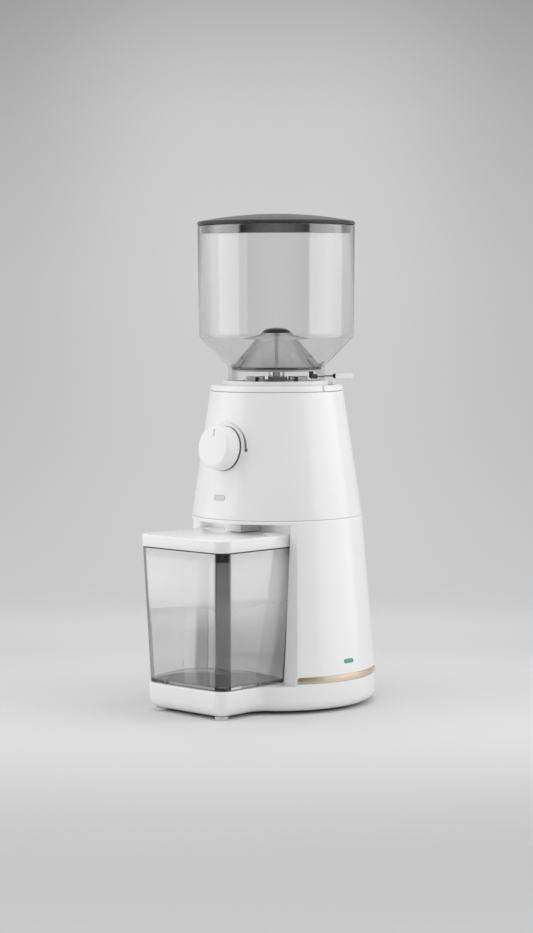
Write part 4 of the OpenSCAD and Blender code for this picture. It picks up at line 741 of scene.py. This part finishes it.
def make_container_lid():
    """White lid with rounded upper edges, and the seal under it."""
    s = Shape()
    edge = 1.1
    rings = [(0.5, LID_Z + 0.02), (0.15, LID_Z + 0.15), (0, LID_Z + 0.5), (0, LID_TOP - edge)]
    for k in range(1, 5):
        t = math.radians(90 * k / 4)
        rings.append((edge * (1 - math.cos(t)), LID_TOP - edge + edge * math.sin(t)))
    s.loft([rise(lid_plan(i), z) for i, z in rings])
    s.make("bin_lid", "white_shell", "grounds_container", ["container_lid"])
    s = Shape()
    hw, fr, bk = 47.18, 113.53, 34.76       # the seal's half width, front and back
    outer = [rise(box_plan(hw - i, -fr + i, -bk - i, 10 - i, 1.6), z)
             for i, z in ((0.6, LID_Z - 8.0), (0.0, LID_Z - 7.5), (0.0, LID_Z))]
    inner = [rise(box_plan(hw - i, -fr + i, -bk - i, 10 - i, 0.8), z)
             for i, z in ((2.4, LID_Z), (2.4, LID_Z - 7.5), (1.8, LID_Z - 8.0))]
    s.loft(outer + inner, wrap=True)
    # the seal's faces take the lighter grey as painted reflection, its front corners stay black
    darken_corners_as_shade(s.make("bin_seal", "black_seal", "grounds_container", ["container_seal"],
                        mat=M["seal_sheen_painted"]), M["black_seal"], back=2)


make_container()
make_container_lid()
# ------------------------------------------------------------- bean guard
def cut_away(obj, verts, faces):
    """Take a closed form away from a piece."""
    mesh = bpy.data.meshes.new("cutter")
    mesh.from_pydata([tuple(v) for v in verts], [], faces)
    bm = bmesh.new()
    bm.from_mesh(mesh)
    bmesh.ops.recalc_face_normals(bm, faces=bm.faces)
    bm.to_mesh(mesh)
    bm.free()
    cutter = bpy.data.objects.new("cutter", mesh)
    bpy.context.scene.collection.objects.link(cutter)
    mod = obj.modifiers.new("cut", "BOOLEAN")
    mod.operation, mod.solver, mod.object = "DIFFERENCE", "EXACT", cutter
    bpy.context.view_layer.update()
    done = bpy.data.meshes.new_from_object(obj.evaluated_get(bpy.context.evaluated_depsgraph_get()))
    obj.modifiers.clear()
    obj.data = done
    for f in done.polygons:
        f.use_smooth = True
    done.set_sharp_from_angle(angle=SHARP)
    bpy.data.objects.remove(cutter)


GUARD_Z = NECK_TOP - 1.9
GUARD_SKIN = [(38.0, 1.65), (37.0, 3.6), (19.1, 24.2), (17.9, 24.8), (17.2, 26.2), (12.3, 31.0),
              (10.4, 32.7), (7.2, 34.0), (3.6, 34.55)]


def lever_point(x, r, h):
    """A point r from the burr axis towards the lever, x across and h up."""
    c, s = math.cos(LEVER), math.sin(LEVER)
    return at(x * c + r * s, x * s - r * c, h)


def make_guard():
    """Smoky cone over the gate: ledge, dark cap, post, and a rib in each of its two windows."""
    skin = [(r, GUARD_Z + h) for r, h in GUARD_SKIN]
    inner = [(max(r - 1.5, 0.0), h - 0.6) for r, h in skin[1:]]
    s = Shape()
    s.lathe([(36.6, GUARD_Z + 1.65), *skin, (0, GUARD_Z + 34.7), (0, GUARD_Z + 33.4),
             *reversed(inner)], burr_axis)
    shell = s.make("guard_cone", "guard_smoke", "bean_hopper", ["bean_guard"])
    z1, z2 = GUARD_Z + 1.7, GUARD_Z + 10.6
    for side in (1, -1):
        corners = [lever_point(x, side * r, z) for z in (z1, z2) for x, r in
                   ((-12, 16), (12, 16), (12, 44), (-12, 44))]
        cut_away(shell, corners, [(0, 1, 2, 3), (7, 6, 5, 4), (0, 4, 5, 1), (1, 5, 6, 2),
                                  (2, 6, 7, 3), (3, 7, 4, 0)])
    ribs = Shape()
    for side in (1, -1):
        out = [(37.9, 1.7), (36.9, 3.6), (18.6, 23.6), (14.8, 24.6), (33.2, 3.4), (33.2, 1.7)]
        ribs.loft([[lever_point(x, side * r, GUARD_Z + h) for r, h in out] for x in (-1.5, 1.5)])
    ribs.make("guard_ribs", "guard_smoke", "bean_hopper", mat=M["rib_smoke"])
    turned("guard_cap", [(0, GUARD_Z + 29.9), (10.9, GUARD_Z + 29.9), (11.2, GUARD_Z + 30.4),
                         (9.0, GUARD_Z + 32.2), (6.2, GUARD_Z + 33.0), (0, GUARD_Z + 33.3)],
           "dark_plastic", "bean_hopper", seg=96, mat=M["black_metal"])
    turned("guard_post", [(0, GUARD_Z + 0.3), (1.5, GUARD_Z + 0.3), (1.5, GUARD_Z + 26), (2.4, GUARD_Z + 27),
                          (2.4, GUARD_Z + 29.8), (0, GUARD_Z + 29.8)],
           "guard_smoke", "bean_hopper", seg=48, mat=M["post_smoke"])
    turned("guard_foot", [(33.4, GUARD_Z), (38.2, GUARD_Z), (38.2, GUARD_Z + 1.6), (33.4, GUARD_Z + 1.6)],
           "guard_smoke", "bean_hopper", mat=M["foot_smoke"])
    turned("guard_web", [(2.0, GUARD_Z + 0.1), (18.5, GUARD_Z + 0.1), (18.5, GUARD_Z + 2.2),
                         (2.0, GUARD_Z + 2.2)],
           "guard_smoke", "bean_hopper", seg=96, mat=M["web_smoke"])


make_guard()


def make_neck_posts():
    """Smoky stops inside the neck, under the gate, beside the lever and opposite it."""
    s = Shape()
    for side, z0, z1 in ((-1, 271.0, 281.4), (1, 271.0, 274.8), (1, 279.4, 281.4)):
        plan = [(x, side * r) for x, r in ((-3, 33.4), (3, 33.4), (3, 38.2), (-3, 38.2))]
        s.loft([[lever_point(x, r, z) for x, r in plan] for z in (z0, z1)])
    s.make("neck_posts", "clear_smoke", "bean_hopper", mat=M["guard_smoke"])


make_neck_posts()


# ------------------------------------------------------------------- lever
ROD_Z = 277.0


def along_lever(s, profile, seg=24):
    """Add a form turned about the lever's line; profile holds (radius, reach)."""
    rings = [[lever_point(q * math.cos(2 * math.pi * i / seg), r,
                          ROD_Z + q * math.sin(2 * math.pi * i / seg)) for i in range(seg)]
             for q, r in profile]
    s.loft(rings)


def make_lever():
    """Thin rod with its boss, a knob at its outer end, and the pin up to the gate plate."""
    s = Shape()
    along_lever(s, [(1.2, 29.0), (2.3, 29.2), (2.3, 30.0), (1.4, 30.3), (1.9, 31.2), (1.9, 34.2),
                    (1.4, 34.8), (0.5, 35.0)])
    along_lever(s, [(0.5, 34.9), (0.5, 48.0)])
    along_lever(s, [(0.5, 47.6), (1.7, 48.0), (2.0, 48.8), (2.0, 50.4), (1.6, 51.2), (0.6, 51.5)])
    pin = [[lever_point(2.0 * math.cos(a), 29.5 + 2.0 * math.sin(a), z)
            for a in [2 * math.pi * i / 24 for i in range(24)]]
           for z in (ROD_Z - 1.0, GUARD_Z - 1.6)]
    s.loft(pin)
    s.make("lever_rod", "black_metal", "bean_gate", ["gate_rod"])


make_lever()


# ------------------------------------------------------------- light, stage
def softbox(name, azimuth, distance, width, height, mid, radiance, edges=(0.0, 0.0), foot=0.0):
    """Large lamp beside the grinder; azimuth is turned from the front to the right.
    edges are the shares of its width over which its upright sides fade, and foot the
    share of its height over which its lower edge dims to about the floor's tone."""
    a = math.radians(azimuth)
    lamp = bpy.data.objects.new(name, bpy.data.lights.new(name, "AREA"))
    lamp.data.shape = "RECTANGLE"
    lamp.data.size = width
    lamp.data.size_y = height
    lamp.data.energy = radiance * math.pi * width * height
    lamp.location = at(0, 0, 0) + Vector((distance * math.sin(a), -distance * math.cos(a), mid))
    lamp.rotation_euler = (at(0, 0, 0) + Vector((0, 0, mid)) - lamp.location
                           ).to_track_quat("-Z", "Y").to_euler()
    lamp.visible_camera = False
    bpy.context.scene.collection.objects.link(lamp)
    if max(edges) > 0:
        lamp.data.use_nodes = True
        t = lamp.data.node_tree
        emit = next(n for n in t.nodes if n.type == "EMISSION")
        where = t.nodes.new("ShaderNodeNewGeometry")
        part = t.nodes.new("ShaderNodeSeparateXYZ")
        t.links.new(where.outputs["Parametric"], part.inputs["Vector"])
        rise = t.nodes.new("ShaderNodeMapRange")
        rise.interpolation_type = "SMOOTHSTEP"
        rise.inputs["From Max"].default_value = max(edges[0], 0.001)
        fall = t.nodes.new("ShaderNodeMapRange")
        fall.interpolation_type = "SMOOTHSTEP"
        fall.inputs["From Min"].default_value = 1.0
        fall.inputs["From Max"].default_value = 1.0 - max(edges[1], 0.001)
        t.links.new(part.outputs["X"], rise.inputs["Value"])
        t.links.new(part.outputs["X"], fall.inputs["Value"])
        lower = t.nodes.new("ShaderNodeMapRange")
        lower.interpolation_type = "SMOOTHSTEP"
        lower.inputs["From Max"].default_value = max(foot, 0.001)
        lower.inputs["To Min"].default_value = 0.6
        t.links.new(part.outputs["Y"], lower.inputs["Value"])
        both = t.nodes.new("ShaderNodeMath")
        both.operation = "MULTIPLY"
        t.links.new(rise.outputs["Result"], both.inputs[0])
        t.links.new(fall.outputs["Result"], both.inputs[1])
        all_sides = t.nodes.new("ShaderNodeMath")
        all_sides.operation = "MULTIPLY"
        t.links.new(both.outputs[0], all_sides.inputs[0])
        t.links.new(lower.outputs["Result"], all_sides.inputs[1])
        t.links.new(all_sides.outputs[0], emit.inputs["Strength"])
    return lamp


softbox("softbox_right", VIEW_AZ + 79, 0.48, 0.58, 1.2, 0.605, 1.04, (0.0, 0.12), 0.03)
softbox("softbox_left", VIEW_AZ - 88, 0.56, 0.745, 1.2, 0.605, 1.06, (0.5, 0.0), 0.03)
top = softbox("softbox_top", VIEW_AZ, 0.05, 1.2, 1.2, 1.7, 2.25)
top.rotation_euler = (0, 0, 0)
front = softbox("fill_front", VIEW_AZ - 8, 1.6, 1.6, 0.56, 0.28, 0.95)
fills = [front]
for azimuth, distance, width, radiance, facing in ((-32.4, 0.0616, 0.022, 3.0, 0),
                                                   (-12.3, 0.0655, 0.016, 2.6, -20),
                                                   (34.0, 0.0616, 0.020, 2.6, -24)):
    strip = softbox("fill_bay", azimuth, distance, width, 0.006, 0.1525, radiance)
    strip.rotation_euler = (math.radians(90), 0, math.radians(facing))
    fills.append(strip)
for fill in fills:
    fill.visible_glossy = fill.visible_transmission = False


def linear(tone):
    """Scene value that shows as a given tone of 255."""
    v = tone / 255
    return ((v + 0.055) / 1.055) ** 2.4


def ramp_node(t, value, low, high, stops):
    """Tone by a value; stops hold (value, scene value)."""
    fit = t.nodes.new("ShaderNodeMapRange")
    fit.inputs["From Min"].default_value = low
    fit.inputs["From Max"].default_value = high
    t.links.new(value, fit.inputs["Value"])
    ramp = t.nodes.new("ShaderNodeValToRGB")
    t.links.new(fit.outputs["Result"], ramp.inputs["Fac"])
    cr = ramp.color_ramp
    cr.elements[0].position, cr.elements[1].position = 0.0, 1.0
    cr.elements[0].color = (stops[0][1],) * 3 + (1,)
    cr.elements[1].color = (stops[-1][1],) * 3 + (1,)
    for pos, v in stops[1:-1]:
        e = cr.elements.new((pos - low) / (high - low))
        e.color = (v, v, v, 1)
    return ramp.outputs["Color"]


def make_world():
    world = bpy.data.worlds.new("studio")
    bpy.context.scene.world = world
    world.use_nodes = True
    t = world.node_tree
    t.nodes.clear()
    out = t.nodes.new("ShaderNodeOutputWorld")
    path = t.nodes.new("ShaderNodeLightPath")
    coord = t.nodes.new("ShaderNodeTexCoord")
    turn = t.nodes.new("ShaderNodeMapping")
    turn.vector_type = "POINT"
    turn.inputs["Rotation"].default_value = (0, 0, math.radians(-VIEW_AZ))
    t.links.new(coord.outputs["Generated"], turn.inputs["Vector"])
    sep = t.nodes.new("ShaderNodeSeparateXYZ")
    t.links.new(turn.outputs["Vector"], sep.inputs["Vector"])

    # backdrop: tone by height, dimmer towards the picture's sides
    low, high = -0.26, 0.13
    tones = [(-0.26, 206), (-0.15, 206), (-0.118, 205), (-0.094, 205.5), (-0.061, 204),
             (-0.033, 205), (0.005, 207), (0.037, 206), (0.071, 202), (0.094, 193), (0.115, 180),
             (0.13, 172)]
    middle = ramp_node(t, sep.outputs["Z"], low, high, [(z, linear(v)) for z, v in tones])
    dimming = [(-0.26, 0.0), (-0.134, 0.02), (-0.118, 0.05), (-0.094, 0.09), (-0.061, 0.11),
               (-0.033, 0.14), (0.005, 0.17), (0.037, 0.21), (0.071, 0.26), (0.094, 0.26),
               (0.13, 0.23)]
    amount = ramp_node(t, sep.outputs["Z"], low, high, dimming)
    side = t.nodes.new("ShaderNodeMath")
    side.operation = "ABSOLUTE"
    t.links.new(sep.outputs["X"], side.inputs[0])
    share = t.nodes.new("ShaderNodeMapRange")
    share.interpolation_type = "SMOOTHSTEP"
    share.inputs["From Min"].default_value = 0.022
    share.inputs["From Max"].default_value = 0.122
    t.links.new(side.outputs[0], share.inputs["Value"])
    loss = t.nodes.new("ShaderNodeMath")
    loss.operation = "MULTIPLY"
    t.links.new(amount, loss.inputs[0])
    t.links.new(share.outputs["Result"], loss.inputs[1])
    keep = t.nodes.new("ShaderNodeMath")
    keep.operation = "SUBTRACT"
    keep.inputs[0].default_value = 1.0
    t.links.new(loss.outputs[0], keep.inputs[1])
    both = t.nodes.new("ShaderNodeMix")
    both.data_type = "RGBA"
    both.blend_type = "MULTIPLY"
    both.inputs["Factor"].default_value = 1.0
    t.links.new(middle, both.inputs["A"])
    t.links.new(keep.outputs[0], both.inputs["B"])
    room = t.nodes.new("ShaderNodeMix")
    room.data_type = "RGBA"
    room.blend_type = "MULTIPLY"
    t.links.new(path.outputs["Is Transmission Ray"], room.inputs["Factor"])
    t.links.new(both.outputs["Result"], room.inputs["A"])
    t.links.new(ramp_node(t, sep.outputs["Y"], -1.0, 1.0,
                          [(-1.0, 0.8), (-0.88, 0.6), (-0.6, 0.07), (-0.2, 0.6), (0.3, 1.0), (1.0, 1.0)]),
                room.inputs["B"])
    seen = t.nodes.new("ShaderNodeBackground")
    t.links.new(room.outputs["Result"], seen.inputs["Color"])

    # what glossy pieces mirror: a dark room in front, the backdrop behind
    mirrored = t.nodes.new("ShaderNodeBackground")
    t.links.new(ramp_node(t, sep.outputs["Y"], -1.0, 1.0,
                          [(-1.0, 0.03), (-0.55, 0.03), (-0.2, 0.35), (0.3, 0.6), (1.0, 0.6)]),
                mirrored.inputs["Color"])
    lit = t.nodes.new("ShaderNodeBackground")
    lit.inputs["Color"].default_value = (0.50, 0.50, 0.50, 1)

    first = t.nodes.new("ShaderNodeMixShader")
    t.links.new(path.outputs["Is Glossy Ray"], first.inputs["Fac"])
    t.links.new(lit.outputs[0], first.inputs[1])
    t.links.new(mirrored.outputs[0], first.inputs[2])
    either = t.nodes.new("ShaderNodeMath")
    either.operation = "MAXIMUM"
    t.links.new(path.outputs["Is Camera Ray"], either.inputs[0])
    t.links.new(path.outputs["Is Transmission Ray"], either.inputs[1])
    last = t.nodes.new("ShaderNodeMixShader")
    t.links.new(either.outputs[0], last.inputs["Fac"])
    t.links.new(first.outputs[0], last.inputs[1])
    t.links.new(seen.outputs[0], last.inputs[2])
    t.links.new(last.outputs[0], out.inputs["Surface"])


make_world()


def make_floor():
    """Round floor that fades into the backdrop at its rim."""
    mesh = bpy.data.meshes.new("floor")
    n, r = 96, 0.95
    verts = [at(r / MM * math.cos(2 * math.pi * i / n), r / MM * math.sin(2 * math.pi * i / n), 0)
             for i in range(n)]
    mesh.from_pydata(verts, [], [list(range(n))])
    floor = bpy.data.objects.new("floor", mesh)
    bpy.context.scene.collection.objects.link(floor)
    mat, t, out = nodes_of("floor")
    coord = t.nodes.new("ShaderNodeTexCoord")
    length = t.nodes.new("ShaderNodeVectorMath")
    length.operation = "LENGTH"
    t.links.new(coord.outputs["Object"], length.inputs[0])
    diffuse = t.nodes.new("ShaderNodeBsdfDiffuse")
    turn = t.nodes.new("ShaderNodeMapping")
    turn.inputs["Rotation"].default_value = (0, 0, math.radians(-VIEW_AZ))
    t.links.new(coord.outputs["Object"], turn.inputs["Vector"])
    sep = t.nodes.new("ShaderNodeSeparateXYZ")
    t.links.new(turn.outputs["Vector"], sep.inputs["Vector"])
    both = t.nodes.new("ShaderNodeMix")
    both.data_type = "RGBA"
    both.blend_type = "MULTIPLY"
    both.inputs["Factor"].default_value = 1.0
    t.links.new(ramp_node(t, length.outputs["Value"], 0.0, 1.0, FLOOR_TONES), both.inputs["A"])
    t.links.new(ramp_node(t, sep.outputs["Y"], -1.0, 1.0, BEHIND), both.inputs["B"])
    t.links.new(both.outputs["Result"], diffuse.inputs["Color"])
    clear_rim = t.nodes.new("ShaderNodeBsdfTransparent")
    mix = t.nodes.new("ShaderNodeMixShader")
    fade = t.nodes.new("ShaderNodeMapRange")
    fade.interpolation_type = "SMOOTHSTEP"
    fade.inputs["From Min"].default_value = 0.45
    fade.inputs["From Max"].default_value = 0.93
    t.links.new(length.outputs["Value"], fade.inputs["Value"])
    t.links.new(fade.outputs["Result"], mix.inputs["Fac"])
    t.links.new(diffuse.outputs["BSDF"], mix.inputs[1])
    t.links.new(clear_rim.outputs["BSDF"], mix.inputs[2])
    t.links.new(mix.outputs["Shader"], out.inputs["Surface"])
    mesh.materials.append(mat)


# the floor is lighter near the grinder: a painted pool of light that also lifts its contact shadow, darker
# out towards its rim
FLOOR_TONES = [(0.0, 0.70), (0.15, 0.69), (0.3, 0.66), (0.45, 0.62), (0.6, 0.60), (1.0, 0.59)]
BEHIND = [(-1.0, 1.0), (0.1, 1.0), (0.3, 1.05), (0.5, 1.25), (1.0, 1.3)]
make_floor()

bpy.context.scene.view_settings.view_transform = "Standard"
